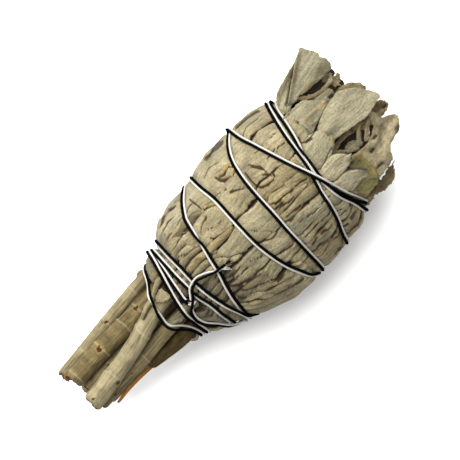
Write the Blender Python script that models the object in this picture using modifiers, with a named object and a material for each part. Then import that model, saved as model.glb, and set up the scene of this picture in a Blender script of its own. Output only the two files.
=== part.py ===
"""A small bundle of dried sage: leaves gathered round their stalks and wound with a doubled string.

The bundle lies along X with its leafy tip at +X, its seen side up and the ground at Z = 0.
Lengths below are in millimetres and are scaled to metres where they meet Blender.
"""

import math
import random

import bmesh
import bpy
import numpy as np
from mathutils import Vector
from mathutils.bvhtree import BVHTree

MM = 0.001
AXIS_Z = 20.2
CLEARANCE = 0.3
WELD = 0.00001

# The bundle's outline from above: x, then its lowest and highest y.
OUTLINE = [
    (-34.0, -11.6, 12.9),
    (-27.5, -12.7, 13.5),
    (-21.9, -14.2, 14.4),
    (-15.9, -17.0, 15.6),
    (-9.9, -19.6, 19.8),
    (-3.9, -21.8, 21.0),
    (2.1, -23.6, 21.2),
    (8.1, -24.4, 21.8),
    (14.1, -24.4, 22.5),
    (26.1, -23.8, 22.6),
    (32.1, -23.4, 21.6),
    (38.1, -20.8, 20.2),
    (44.1, -18.6, 18.2),
    (48.0, -15.0, 15.0),
    (51.0, -9.0, 9.0),
]
ABOVE = [(-25.0, 0.9), (0.0, 0.92)]
BELOW = [(-25.0, 0.9), (0.0, 0.81)]

LEAF_THICKNESS = 0.8
LONG_LEAVES = 12
OUTER_LEAVES = 11
UNDER_TIP_LEAVES = 6
INNER_LEAVES = 4

STRING_RADIUS = 0.43
STRING_STEP = 0.7
STRING_LIFT = STRING_RADIUS + CLEARANCE + 0.12
STRAND_LIFT = 2 * STRING_RADIUS + CLEARANCE + 0.06
STRING_THINNING = 0.18
NEXT_STEPS = 8
LIFT_STEP = 0.05
TIGHTENING_PASSES = 160


def between(x, stations, column=1):
    """A column of a table of stations, read at x."""
    return float(np.interp(x, [row[0] for row in stations], [row[column] for row in stations]))


def middle(x):
    return (between(x, OUTLINE, 1) + between(x, OUTLINE, 2)) / 2


def half_width(x):
    return (between(x, OUTLINE, 2) - between(x, OUTLINE, 1)) / 2


def half_height(x, angle):
    ratio = between(x, ABOVE) if math.sin(angle) > 0 else between(x, BELOW)
    return half_width(x) * ratio


def radius(x, angle):
    """From the axis to the bundle's outer surface. The angle runs from +Y up over the top."""
    across = math.cos(angle) / half_width(x)
    up = math.sin(angle) / half_height(x, angle)
    return 1 / math.hypot(across, up)


def on_bundle(x, angle, out=0.0):
    """A point at this distance out of the bundle's surface."""
    reach = radius(x, angle) + out
    return Vector((x, middle(x) + reach * math.cos(angle), AXIS_Z + reach * math.sin(angle)))


# Objects

def clear_scene():
    for obj in list(bpy.data.objects):
        bpy.data.objects.remove(obj, do_unlink=True)


def new_collection(name):
    collection = bpy.data.collections.new(name)
    bpy.context.scene.collection.children.link(collection)
    return collection


def material(name, colour, roughness):
    made = bpy.data.materials.new(name)
    made.use_nodes = True
    shader = made.node_tree.nodes["Principled BSDF"]
    shader.inputs["Base Color"].default_value = (*colour, 1.0)
    shader.inputs["Roughness"].default_value = roughness
    shader.inputs["Metallic"].default_value = 0.0
    return made


def solid_mesh(obj):
    """The object as Blender evaluates it, as one mesh. A curve's caps are welded to its sides."""
    graph = bpy.context.evaluated_depsgraph_get()
    mesh = bpy.data.meshes.new_from_object(obj.evaluated_get(graph))
    if obj.type == "CURVE":
        bm = bmesh.new()
        bm.from_mesh(mesh)
        bmesh.ops.remove_doubles(bm, verts=bm.verts, dist=WELD)
        bm.to_mesh(mesh)
        bm.free()
    return mesh


def body_volume(faces):
    """The signed volume inside triangles: below zero for the wall of a hollow."""
    return sum(
        face.verts[0].co.dot(face.verts[1].co.cross(face.verts[2].co)) for face in faces
    ) / 6


def keep_largest_body(mesh):
    """Drops loose scraps and the walls of sealed hollows."""
    bm = bmesh.new()
    bm.from_mesh(mesh)
    bmesh.ops.triangulate(bm, faces=bm.faces)
    waiting = set(bm.faces)
    bodies = []
    while waiting:
        edge_of_body = [waiting.pop()]
        body = set(edge_of_body)
        while edge_of_body:
            for edge in edge_of_body.pop().edges:
                for face in edge.link_faces:
                    if face not in body:
                        body.add(face)
                        edge_of_body.append(face)
        waiting -= body
        bodies.append(body)
    largest = max(bodies, key=body_volume)
    bmesh.ops.delete(bm, geom=[face for face in bm.faces if face not in largest], context="FACES")
    bm.to_mesh(mesh)
    bm.free()


def tube(name, points, radii, sides_step, collection, look):
    """A round curve object through the points, with a radius at each."""
    curve = bpy.data.curves.new(name, "CURVE")
    curve.dimensions = "3D"
    curve.bevel_depth = MM
    curve.bevel_resolution = sides_step
    curve.use_fill_caps = True
    spline = curve.splines.new("POLY")
    spline.points.add(len(points) - 1)
    for point, place, size in zip(spline.points, points, radii):
        point.co = (*(Vector(place) * MM), 1.0)
        point.radius = size
    obj = bpy.data.objects.new(name, curve)
    collection.objects.link(obj)
    if look:
        curve.materials.append(look)
    return obj


# Leaves

def blade(name, place, rows, columns, thickness, collection):
    """A thin closed leaf. place(u, v) gives its outer face, u from root to tip, v from side to side."""
    bm = bmesh.new()
    bmesh.ops.create_grid(bm, x_segments=rows, y_segments=columns, size=1.0)
    bmesh.ops.triangulate(bm, faces=bm.faces, quad_method="FIXED")
    for vert in bm.verts:
        vert.co = place((vert.co.x + 1) / 2, -vert.co.y) * MM
    mesh = bpy.data.meshes.new(name)
    bm.to_mesh(mesh)
    bm.free()
    obj = bpy.data.objects.new(name, mesh)
    collection.objects.link(obj)
    solidify = obj.modifiers.new("thickness", "SOLIDIFY")
    solidify.thickness = thickness * MM
    solidify.offset = -1.0
    return obj


def leaf_width(u, widest):
    """A share of the leaf's greatest half width: a narrow stalk, a full middle and a blunt tip."""
    if u < widest:
        return 0.3 + 0.7 * math.sin(math.pi / 2 * u / widest) ** 1.3
    return 0.12 + 0.88 * math.cos(math.pi / 2 * (u - widest) / (1 - widest)) ** 0.7


def wrapped_leaf(name, start, end, angle, drift, half, out, tilt, rows, collection):
    """A leaf pressed on the bundle, one long side under its neighbour and the other over it."""

    def place(u, v):
        x = start + (end - start) * u
        sideways = half * leaf_width(u, 0.55) * v
        turn = angle + drift * u + sideways / max(radius(x, angle), 9.0)
        lift = out + tilt * v - 0.25 * v * v + 0.5 * max(0.0, u - 0.8)
        if u == 0:
            lift -= 1.2
        return on_bundle(x, turn, lift)

    return blade(name, place, rows, 2, LEAF_THICKNESS, collection)


def free_leaf(name, root, tip, half, facing, cup, bow, curl, collection, widest=0.55):
    """A leaf that stands out of the bundle's tip, cupped across, bowed along and curled at its end."""
    root = Vector(root) + Vector((0, 0, AXIS_Z))
    along = Vector(tip) + Vector((0, 0, AXIS_Z)) - root
    face = Vector(facing)
    side = along.cross(face).normalized()
    face = side.cross(along).normalized()

    def place(u, v):
        across = half * leaf_width(u, widest) * v
        lift = cup * (v * v - 0.4) * half + bow * math.sin(math.pi * u) + curl * u**4
        ripple = 0.25 * math.sin(9 * u + 2.5 * v)
        return root + along * u + side * across + face * (lift + ripple)

    return blade(name, place, 4, 2, LEAF_THICKNESS, collection)


# The leaves that stand out at the tip: root and tip with their heights over the axis, half width,
# facing, cup, bow and curl.
TIP_LEAVES = [
    ((37, 14.5, 7), (58.5, 20.5, 9), 5.6, (-0.1, 0.2, 1), 0.42, 1.0, 0.6),
    ((38, 16.5, 4), (60.5, 22.5, 4), 4.8, (0, 0.8, 0.6), -0.4, 0.8, -0.8),
    ((36, 9.5, 15), (55.5, 10.0, 12), 4.6, (0, 0.2, 1), -0.25, 0.8, -0.4),
    ((41, 2.0, 17), (64.0, -0.8, 13), 5.6, (0.1, 0, 1), -0.2, 0.9, -0.8),
    ((44, 5.0, 11), (63.0, 3.6, 9), 3.2, (0, 0.2, 1), 0.5, 0.6, 0.3),
    ((46, -3.0, 11), (63.4, -5.0, 8.5), 2.2, (0, -0.1, 1), 0.5, 0.6, 0.5),
    ((42, -10.5, 13), (62.8, -10.5, 8), 4.8, (0, -0.3, 1), 0.35, 1.0, 0.6),
    ((40, -14.5, 10), (56.0, -15.0, 6), 4.2, (0, -0.7, 0.8), -0.3, 0.8, -0.4),
    ((37, -16.5, 5), (52.5, -18.8, 3), 3.6, (0, -1, 0.4), 0.4, 1.2, 0.3),
    ((42, -4.5, 16), (55.5, -6.0, 13.5), 3.2, (0, -0.2, 1), 0.6, 0.8, 0.8),
    ((44, -1.0, 6), (58.0, 0.5, 4), 3.6, (0.1, 1, 0.3), 0.5, 0.6, 0.3),
    ((43, 9.0, 7), (60.0, 12.5, 4), 4.2, (0, 0.5, 0.9), 0.5, 0.6, 0.6),
]

# The leaf folds that bulge down between the turns of string and bear the bundle: x, angle, length
# and how far they stand out.
BEARING_LEAVES = [
    (-8.0, 270, 7.5, 4.4),
    (13.4, 261, 5.4, 2.5),
    (14.0, 284, 7.0, 2.6),
]
BEARING_HALF_WIDTH = 4.0
BEARING_THICKNESS = 2.0
BEARING_SINK = 0.9


CORE_INSET = [(-22.0, 1.3), (-2.0, 1.8)]


def core(collection):
    """The packed inner leaves, which the others stand out of."""
    bm = bmesh.new()
    bmesh.ops.create_cone(
        bm, segments=14, radius1=1, radius2=1, depth=2, cap_ends=True, cap_tris=True
    )
    rings = [-25.0, -18, -8, 2, 14, 30, 40, 45]
    side = [edge for edge in bm.edges if abs(edge.verts[0].co.z - edge.verts[1].co.z) > 1]
    bmesh.ops.subdivide_edges(bm, edges=side, cuts=len(rings) - 2, use_grid_fill=True)
    for vert in bm.verts:
        x = rings[round((vert.co.z + 1) / 2 * (len(rings) - 1))]
        angle = math.atan2(vert.co.y, vert.co.x)
        inset = between(x, CORE_INSET)
        if math.hypot(vert.co.x, vert.co.y) > 0.5:
            vert.co = on_bundle(x, angle, -inset) * MM
        else:
            vert.co = Vector((x, middle(x), AXIS_Z)) * MM
    mesh = bpy.data.meshes.new("leaf_bunch")
    bm.to_mesh(mesh)
    bm.free()
    obj = bpy.data.objects.new("leaf_bunch", mesh)
    collection.objects.link(obj)
    return obj


def wrapped_leaves(collection):
    """Two coats of leaves round the bundle, the lower one long enough to reach the tip."""
    draw = random.Random(7)
    for k in range(LONG_LEAVES):
        angle = 2 * math.pi * (k + 0.5 * draw.random()) / LONG_LEAVES
        start = draw.uniform(4, 14)
        end = draw.uniform(44, 51)
        tilt = 0.6 * draw.choice((-1, 1))
        wrapped_leaf(
            f"long_leaf_{k}", start, end, angle, draw.uniform(-0.2, 0.2), draw.uniform(6.4, 8.0),
            -0.9, tilt, 3, collection,
        )
    for k in range(OUTER_LEAVES):
        angle = 2 * math.pi * (k + 0.5 * draw.random()) / OUTER_LEAVES
        start = draw.uniform(-28.5, -23)
        end = draw.uniform(14, 42)
        tilt = 0.75 * draw.choice((-1, 1))
        wrapped_leaf(
            f"outer_leaf_{k}", start, end, angle, draw.uniform(-0.15, 0.15), draw.uniform(6.2, 7.8),
            -0.35, tilt, 5, collection,
        )


def tip_leaves(collection):
    for k, (root, tip, half, facing, cup, bow, curl) in enumerate(TIP_LEAVES):
        free_leaf(f"tip_leaf_{k}", root, tip, half, facing, cup, bow, curl, collection)
    draw = random.Random(11)
    for k in range(UNDER_TIP_LEAVES):
        angle = math.radians(190 + 160 * (k + 0.3 * draw.random()) / UNDER_TIP_LEAVES)
        ring_leaf(f"under_tip_leaf_{k}", angle, 12.5, draw, collection)
    for k in range(INNER_LEAVES):
        angle = 2 * math.pi * (k + 0.3 * draw.random()) / INNER_LEAVES
        ring_leaf(f"inner_leaf_{k}", angle, 6.0, draw, collection)


def ring_leaf(name, angle, ring, draw, collection):
    """A leaf that stands out of the tip, this far from the axis."""
    out = Vector((0, math.cos(angle), math.sin(angle)))
    root = Vector((39, 0, 0)) + out * ring
    tip = Vector((draw.uniform(53, 60), 0, 0)) + out * (ring + draw.uniform(-0.5, 2.5))
    free_leaf(
        name, root, tip, draw.uniform(3.6, 5.0), out, draw.uniform(-0.4, 0.4), 0.8,
        draw.uniform(-1, 0.6), collection,
    )


def bearing_leaves(collection):
    for k, (x, degrees, length, out) in enumerate(BEARING_LEAVES):

        def place(u, v, x=x, angle=math.radians(degrees), length=length, out=out):
            swell = max(0.0, math.sin(math.pi * u) * math.cos(math.pi / 2 * v)) ** 0.6
            turn = angle + BEARING_HALF_WIDTH * v / radius(x, angle)
            lift = (out + BEARING_SINK) * swell - BEARING_SINK
            return on_bundle(x + length * (u - 0.5), turn, lift)

        blade(f"bearing_leaf_{k}", place, 4, 4, BEARING_THICKNESS, collection)


# Stalks: x, y, height over the axis, radius, from the cut end into the bunch.
STALKS = [
    # The thick front stalk
    [(-63.0, -3.0, 4.5, 3.1), (-57.9, -2.7, 4.5, 3.15), (-51.9, -2.0, 4.6, 3.0),
     (-45.9, -1.2, 5.2, 2.9), (-39.9, -0.15, 6.0, 2.85), (-33.9, 1.5, 7.0, 2.8),
     (-29.4, 2.7, 7.0, 2.8), (-24.0, 3.2, 7.0, 2.7), (-14.0, 3.2, 6.8, 2.6)],
    # The mottled stalk beside it
    [(-61.8, 5.8, 1.0, 3.05), (-51.9, 5.85, 1.1, 3.05), (-39.9, 5.9, 1.5, 3.0),
     (-27.9, 5.85, 1.3, 3.0), (-14.0, 5.7, 1.1, 2.9)],
    # The thin one along the far edge
    [(-63.4, 9.6, -2.0, 1.45), (-56.0, 9.7, -1.6, 1.5), (-45.9, 10.5, -0.5, 1.55),
     (-39.9, 10.7, 0.0, 1.6), (-33.0, 11.4, 0.4, 1.7), (-27.9, 11.6, 0.5, 1.7),
     (-22.0, 11.2, 0.4, 1.6), (-14.0, 11.0, 0.2, 1.6)],
    # The grey-green one behind the front stalk
    [(-61.2, -4.9, -0.9, 2.3), (-51.9, -4.8, -0.6, 2.4), (-45.9, -5.0, 0.1, 2.25),
     (-41.4, -5.1, 0.8, 2.0), (-33.0, -4.4, 2.2, 2.0), (-25.0, -4.2, 2.5, 2.0),
     (-14.0, -4.2, 2.5, 2.0)],
    # The sheath at the near edge
    [(-42.3, -8.1, -0.6, 1.2), (-39.3, -8.4, -0.6, 1.5), (-35.4, -8.6, -0.6, 1.95),
     (-30.9, -8.8, -0.6, 2.4), (-26.0, -9.0, -0.6, 2.5), (-14.0, -9.0, -0.6, 2.4)],
    # The one that shows between the first two
    [(-60.6, 0.9, -2.6, 2.3), (-45.0, 0.9, -2.4, 2.3), (-27.9, 0.6, -2.1, 2.2),
     (-14.0, 0.6, -2.1, 2.2)],
    # The three below
    [(-60.2, 6.2, -5.7, 2.5), (-45.0, 6.5, -5.4, 2.6), (-27.9, 7.0, -5.2, 2.5),
     (-14.0, 7.0, -5.2, 2.4)],
    [(-61.9, 0.2, -8.3, 2.7), (-40.0, 0.5, -8.0, 2.8), (-27.9, 0.8, -7.8, 2.7),
     (-14.0, 0.8, -7.7, 2.6)],
    [(-58.3, -5.4, -6.4, 2.5), (-40.0, -5.6, -6.2, 2.5), (-27.9, -5.6, -6.0, 2.4),
     (-14.0, -5.6, -6.0, 2.4)],
]
STALK_RINGS = [
    (-53.2, -36.8),
    (-60.4, -49.0, -39.4, -32.8),
    (-53.5, -42.5, -30.0),
    (-42.0,),
    (),
    (-51.0,),
    (-47.0, -34.0),
    (-52.0, -37.5),
    (-44.0,),
]
RING_SWELL = 1.09
RING_LENGTH = 1.0
STALK_STEP = 7.0
HOLES_START = -34.0

TWIG = [
    (-57.0, -8.6, 0.3, 0.5),
    (-51.9, -8.1, 0.0, 0.55),
    (-47.4, -8.1, -0.6, 0.6),
    (-42.9, -8.3, -2.8, 0.6),
    (-36.0, -9.4, -4.4, 0.55),
    (-28.0, -9.9, -4.6, 0.55),
    (-20.0, -9.6, -4.6, 0.5),
]


def stalk_stations(stations, rings):
    """The stalk's points and radii: evenly spaced, with three at each ring, where it swells."""
    places = {stations[0][0], stations[-1][0]}
    x = stations[0][0] + STALK_STEP
    while x < stations[-1][0] - STALK_STEP / 2:
        if all(abs(x - ring) > STALK_STEP / 2 for ring in rings):
            places.add(x)
        x += STALK_STEP
    for ring in rings:
        places.update((ring - RING_LENGTH, ring, ring + RING_LENGTH))
    points = []
    radii = []
    for x in sorted(places):
        points.append((x, between(x, stations, 1), AXIS_Z + between(x, stations, 2)))
        radii.append(between(x, stations, 3) * (RING_SWELL if x in rings else 1.0))
    return points, radii


def stalk_hole(name, stations, collection):
    """A plain hole in the bunch, a clearance wider than the stalk that stands in it."""
    first, last = stations[0][0], stations[-1][0]
    places = [HOLES_START, *(x for x, *_ in stations if HOLES_START < x < last), last + 2 * CLEARANCE]
    points = []
    radii = []
    for x in places:
        inside = min(max(x, first), last)
        points.append((x, between(inside, stations, 1), AXIS_Z + between(inside, stations, 2)))
        radii.append((between(inside, stations, 3) + CLEARANCE) * 1.02)
    return tube(name, points, radii, 2, collection, None)


# The string's two strands run side by side. Each turn is a list of points down the seen side:
# x, y and half the distance from the white strand to the black one, which is above zero where
# the black one lies nearer the tip. Below, a turn runs on to where the next one starts. The
# first list starts with the loose end and the knot, and the last one ends under the knot.
# Turns listed later were laid earlier, so those before them pass over them.
TURNS = [
    [(-4.2, -4.3, 0.5), (-7.4, -2.6, 0.6), (-11.4, -1.3, 0.65), (-15.5, -0.6, 0.6),
     (-17.7, -1.5, 0.6), (-19.0, -3.3, 0.5), (-20.8, -3.9, 0.0), (-22.1, -5.4, -0.5),
     (-22.8, -7.7, -0.7), (-22.3, -10.6, -0.7), (-19.4, -14.2, -0.65), (-16.4, -16.9, -0.63),
     (-13.9, -18.4, -0.63)],
    [(-22.6, 14.5, 0.65), (-24.9, 10.7, 0.65), (-27.8, 6.3, 0.6), (-30.2, 0.3, -0.6),
     (-30.6, -4.7, -0.65), (-28.9, -8.3, -0.7), (-26.2, -12.6, -0.7)],
    [(-19.6, 14.8, -0.63), (-20.8, 9.0, -0.63), (-22.3, 3.8, -0.63), (-23.6, -1.3, -0.65),
     (-24.2, -5.6, -0.65), (-23.9, -9.0, -0.63), (-23.4, -12.9, -0.63)],
    [(-14.2, 15.8, 0.63), (-14.9, 10.0, 0.63), (-15.1, 6.0, 0.63), (-15.4, -0.5, 0.63),
     (-15.1, -5.0, 0.63), (-14.1, -11.0, 0.65), (-12.0, -16.5, 0.63), (-9.6, -19.8, 0.63)],
    [(6.3, 21.6, 0.62), (6.3, 18.0, 0.62), (6.7, 11.0, 0.62), (6.3, 6.0, 0.62),
     (5.9, 0.0, 0.62), (5.7, -6.0, 0.62), (6.3, -12.0, 0.62), (7.2, -16.5, 0.62),
     (8.9, -20.6, 0.62), (10.6, -23.6, 0.62), (11.8, -24.8, 0.62)],
    [(25.0, 22.6, -0.62), (25.7, 18.4, -0.62), (27.0, 13.5, -0.62), (28.5, 8.4, -0.62),
     (30.3, 2.4, -0.62), (31.6, -1.5, -0.62), (33.1, -6.0, -0.62), (34.2, -10.5, -0.62),
     (35.4, -15.0, -0.62), (37.0, -19.5, -0.62), (38.2, -21.4, -0.62)],
    [(41.6, 20.2, 0.62), (39.2, 15.0, 0.62), (37.7, 9.0, 0.62), (36.4, 4.5, 0.62),
     (35.2, 0.0, 0.62), (33.6, -4.8, 0.62), (33.0, -8.4, 0.62), (33.4, -13.5, 0.62),
     (34.8, -18.0, 0.62), (35.6, -21.8, 0.62)],
    [(38.9, 20.6, -0.62), (36.8, 16.5, -0.62), (35.5, 12.0, -0.62), (34.3, 7.5, -0.62),
     (33.3, 3.0, -0.62), (32.6, -1.5, -0.62), (31.6, -4.8, -0.62), (30.4, -9.2, -0.62),
     (29.2, -14.5, -0.62), (27.9, -18.6, -0.62), (26.3, -21.7, -0.62), (25.3, -23.8, -0.62)],
    [(24.0, 22.4, -0.62), (22.6, 21.4, -0.62), (19.9, 18.5, -0.62), (18.0, 13.5, -0.62),
     (16.8, 7.5, -0.62), (16.2, 1.5, -0.62), (15.9, -3.0, -0.62), (15.3, -9.0, -0.62),
     (14.8, -18.0, -0.62), (14.4, -24.8, -0.62)],
    [(3.4, 21.4, -0.62), (-0.7, 18.4, -0.62), (-3.6, 13.6, -0.5), (-4.9, 9.0, 0.5),
     (-5.9, 4.5, 0.62), (-7.2, 0.0, 0.62), (-7.8, -2.4, 0.62), (-9.6, -7.5, 0.62),
     (-10.8, -11.5, 0.62), (-11.5, -15.6, 0.62), (-11.8, -18.9, 0.62)],
    [(-15.8, 15.4, -0.63), (-17.0, 10.0, -0.63), (-17.7, 5.0, -0.63), (-17.9, 0.0, -0.5),
     (-17.8, -4.0, 0.5), (-17.0, -8.0, 0.63), (-16.7, -12.0, 0.63), (-16.2, -16.4, 0.63)],
    [(-17.7, 15.2, -0.63), (-18.9, 10.0, -0.63), (-20.0, 5.0, -0.63), (-20.8, 1.0, -0.63),
     (-21.2, -2.0, -0.63), (-20.6, -4.6, -0.63)],
]


def turn_angle(x, y):
    """Round the bundle to the point of its seen side that lies over (x, y)."""
    across = min(1.0, max(-1.0, (y - middle(x)) / (half_width(x) + STRING_LIFT)))
    up = math.sqrt(1 - across * across) * half_height(x, 1.0) / half_width(x)
    return math.atan2(up, across)


def run_below(end, start, number):
    """Guide points under the bundle from the end of one turn to the start of the next."""
    points = []
    swaps = end[2] * start[2] < 0
    for degrees in (210, 240, 270, 300, 312, 340):
        share = (degrees - 180) / 180
        eased = 3 * share**2 - 2 * share**3
        apart = start[2] if swaps and degrees > 306 else end[2]
        x = end[0] + (start[0] - end[0]) * eased
        points.append((x, math.radians(degrees) + 2 * math.pi * number, apart))
    return points


def string_guide():
    """The string's guide points over all its turns: x, angle and half the strands' distance."""
    guide = []
    for number, turn in enumerate(TURNS):
        for x, y, apart in turn:
            guide.append((x, turn_angle(x, y) + 2 * math.pi * number, apart))
        if number + 1 < len(TURNS):
            guide.extend(run_below(turn[-1], TURNS[number + 1][0], number))
    return np.array(guide)


def strand_paths(step):
    """Each strand's points, a step apart, as rows of x and angle, and the turn each one is in."""
    guide = string_guide()
    reach = np.array([radius(x, angle) for x, angle, _ in guide])
    round_bundle = np.diff(guide[:, 1]) * (reach[1:] + reach[:-1]) / 2
    at = np.concatenate([[0.0], np.cumsum(np.hypot(np.diff(guide[:, 0]), round_bundle))])
    slope = np.gradient(guide, at, axis=0)
    fine = np.arange(0.0, at[-1], step)
    k = np.clip(np.searchsorted(at, fine, side="right") - 1, 0, len(at) - 2)
    width = (at[k + 1] - at[k])[:, None]
    t = (fine - at[k])[:, None] / width
    line = (
        (2 * t**3 - 3 * t**2 + 1) * guide[k]
        + (t**3 - 2 * t**2 + t) * slope[k] * width
        + (3 * t**2 - 2 * t**3) * guide[k + 1]
        + (t**3 - t**2) * slope[k + 1] * width
    )
    fine_reach = np.array([radius(x, angle) + STRING_LIFT for x, angle, _ in line])
    run = np.gradient(line[:, 0])
    turn = np.gradient(line[:, 1]) * fine_reach
    length = np.hypot(run, turn)
    paths = []
    for side in (-1, 1):
        out = side * line[:, 2] / length
        paths.append(np.column_stack([line[:, 0] + out * turn, line[:, 1] - out * run / fine_reach]))
    return paths


def surface_reach(tree, x, angle):
    """From the axis to the outermost surface met at this place, and 0 where there is none."""
    ray = Vector((0.0, math.cos(angle), math.sin(angle)))
    centre = Vector((x, middle(x), AXIS_Z))
    hit = tree.ray_cast((centre + ray * 60) * MM, -ray, 60 * MM)[0]
    return 0.0 if hit is None else (hit / MM - centre).length


def bundle_tree(objects):
    """A search tree over the surfaces of these objects."""
    verts = []
    faces = []
    for obj in objects:
        mesh = solid_mesh(obj)
        first = len(verts)
        verts.extend(obj.matrix_world @ v.co for v in mesh.vertices)
        faces.extend([first + i for i in face.vertices] for face in mesh.polygons)
        bpy.data.meshes.remove(mesh)
    return BVHTree.FromPolygons(verts, faces)


def floor_under(tree, path):
    """The least reach of the string's centre that keeps it clear of the surface, along the path."""
    least = []
    for x, angle in path:
        reach = surface_reach(tree, x, angle) + STRING_LIFT
        ray = Vector((0.0, math.cos(angle), math.sin(angle)))
        centre = Vector((x, middle(x), AXIS_Z))
        while tree.find_nearest((centre + ray * reach) * MM)[3] < STRING_LIFT * MM:
            reach += LIFT_STEP
        least.append(reach)
    return np.array(least)


def pulled_tight(path, reach, least):
    """The reach of a string pulled tight over what it lies on: it bridges hollows."""
    x, angle = path[:, 0], path[:, 1]
    centre = np.array([middle(value) for value in x])
    for _ in range(TIGHTENING_PASSES):
        points = np.column_stack([x, centre + reach * np.cos(angle), reach * np.sin(angle)])
        chord = (points[:-2] + points[2:]) / 2
        chord_reach = np.hypot(chord[:, 1] - centre[1:-1], chord[:, 2])
        reach[1:-1] = np.maximum(least[1:-1], chord_reach)
    return reach


def lay_strands(tree):
    """Both strands, turn after turn, each one over those laid before it."""
    paths = strand_paths(STRING_STEP)
    least = [floor_under(tree, path) for path in paths]
    reach = [values.copy() for values in least]
    order = [
        -2 * np.floor(path[:, 1] / (2 * math.pi)) + strand for strand, path in enumerate(paths)
    ]
    for number in range(-2 * len(TURNS), 2):
        strand = number % 2
        here = np.flatnonzero(order[strand] == number)
        if not len(here):
            continue
        for i in here:
            x, angle = paths[strand][i]
            for other in (0, 1):
                turned = (paths[other][:, 1] - angle + math.pi) % (2 * math.pi) - math.pi
                apart = np.hypot(paths[other][:, 0] - x, turned * reach[strand][i])
                near = (apart < STRAND_LIFT) & (order[other] < number)
                if other == strand:
                    near[max(0, i - NEXT_STEPS): i + NEXT_STEPS + 1] = False
                for j in np.flatnonzero(near):
                    over = reach[other][j] + math.sqrt(STRAND_LIFT**2 - apart[j] ** 2)
                    least[strand][i] = max(least[strand][i], over)
        window = slice(max(0, here[0] - 2), here[-1] + 3)
        laid = np.maximum(reach[strand], least[strand])[window]
        reach[strand][window] = pulled_tight(paths[strand][window], laid, least[strand][window])
    return [
        [
            Vector((x, middle(x) + r * math.cos(angle), AXIS_Z + r * math.sin(angle)))
            for (x, angle), r in zip(path, values)
        ]
        for path, values in zip(paths, reach)
    ]


def thinned(points, within):
    """The fewest of these points whose chords stay this near to all of them."""
    kept = [0]
    start = 0
    while start < len(points) - 1:
        end = start + 1
        while end + 1 < len(points):
            chord = points[end + 1] - points[start]
            off = max(
                (p - points[start]).cross(chord).length / chord.length
                for p in points[start + 1: end + 1]
            )
            if off > within:
                break
            end += 1
        kept.append(end)
        start = end
    return [points[i] for i in kept]


def add_cutters(collection):
    """The ground, which leaves flat spots to rest on, and the stalks' holes."""
    bm = bmesh.new()
    bmesh.ops.create_cube(bm, size=0.2)
    bmesh.ops.translate(bm, verts=bm.verts, vec=(0, 0, -0.1))
    mesh = bpy.data.meshes.new("ground")
    bm.to_mesh(mesh)
    bm.free()
    collection.objects.link(bpy.data.objects.new("ground", mesh))
    for k, stations in enumerate([*STALKS, TWIG]):
        curve = stalk_hole(f"hole_curve_{k + 1}", stations, collection)
        bpy.context.view_layer.update()
        hole = bpy.data.objects.new(f"hole_{k + 1}", solid_mesh(curve))
        hole.matrix_world = curve.matrix_world
        collection.objects.link(hole)
        bpy.data.objects.remove(curve, do_unlink=True)
    for cutter in collection.objects:
        cutter.hide_render = True
        cutter.display_type = "WIRE"


def centre_on_origin(objects):
    """Moves all these objects so that the middle of the whole lies over the origin."""
    bpy.context.view_layer.update()
    corners = [obj.matrix_world @ Vector(corner) for obj in objects for corner in obj.bound_box]
    for axis in (0, 1):
        low = min(corner[axis] for corner in corners)
        high = max(corner[axis] for corner in corners)
        for obj in objects:
            obj.location[axis] -= (low + high) / 2


def build():
    clear_scene()
    parts = new_collection("sage_smudge_stick")
    leaves = new_collection("leaves")
    cutters = new_collection("cutters")
    leaf_look = material("sage_leaf", (0.42, 0.38, 0.26), 0.85)
    stalk_look = material("sage_stalk", (0.36, 0.29, 0.16), 0.75)
    twig_look = material("dry_twig", (0.5, 0.27, 0.08), 0.7)
    white_look = material("white_string", (0.8, 0.78, 0.72), 0.8)
    black_look = material("black_string", (0.03, 0.035, 0.03), 0.75)

    bunch = core(parts)
    wrapped_leaves(leaves)
    tip_leaves(leaves)
    bearing_leaves(leaves)
    union = bunch.modifiers.new("leaves", "BOOLEAN")
    union.operation = "UNION"
    union.operand_type = "COLLECTION"
    union.collection = leaves
    union.solver = "MANIFOLD"
    bpy.context.view_layer.update()
    joined = solid_mesh(bunch)
    bunch.modifiers.clear()
    bunch.data = joined
    keep_largest_body(bunch.data)
    for obj in list(leaves.objects):
        bpy.data.objects.remove(obj, do_unlink=True)
    bpy.data.collections.remove(leaves)

    add_cutters(cutters)
    cut = bunch.modifiers.new("holes_and_ground", "BOOLEAN")
    cut.operation = "DIFFERENCE"
    cut.operand_type = "COLLECTION"
    cut.collection = cutters
    cut.solver = "MANIFOLD"
    bpy.context.view_layer.update()
    bunch_cut = solid_mesh(bunch)
    bunch.modifiers.clear()
    bunch.data = bunch_cut
    keep_largest_body(bunch.data)
    bunch.data.materials.clear()
    bunch.data.materials.append(leaf_look)

    stalks = []
    for k, (stations, rings) in enumerate(zip(STALKS, STALK_RINGS)):
        points, radii = stalk_stations(stations, rings)
        stalks.append(tube(f"stalk_{k + 1}", points, radii, 2, parts, stalk_look))
    points, radii = stalk_stations(TWIG, ())
    stalks.append(tube("dry_twig", points, radii, 1, parts, twig_look))

    bpy.context.view_layer.update()
    white, black = lay_strands(bundle_tree([bunch, *stalks]))
    for name, points, look in (("string_white", white, white_look), ("string_black", black, black_look)):
        points = thinned(points, STRING_THINNING)
        tube(name, points, [STRING_RADIUS] * len(points), 1, parts, look)
    centre_on_origin(list(parts.objects))


if __name__ == "__main__":
    build()
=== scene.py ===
"""The looks of the sage smudge stick: fine leaves, stalks and thread in place of the CAD solids.

Lengths are in millimetres in the part's own frame, and are moved by SHIFT and scaled to metres when
a mesh is made. Places read off the seen side are (along, across) pairs in units of UNIT.
"""

import math
import random

import bpy
import numpy as np
from mathutils import Matrix, Vector, geometry, kdtree
from mathutils.bvhtree import BVHTree


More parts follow.
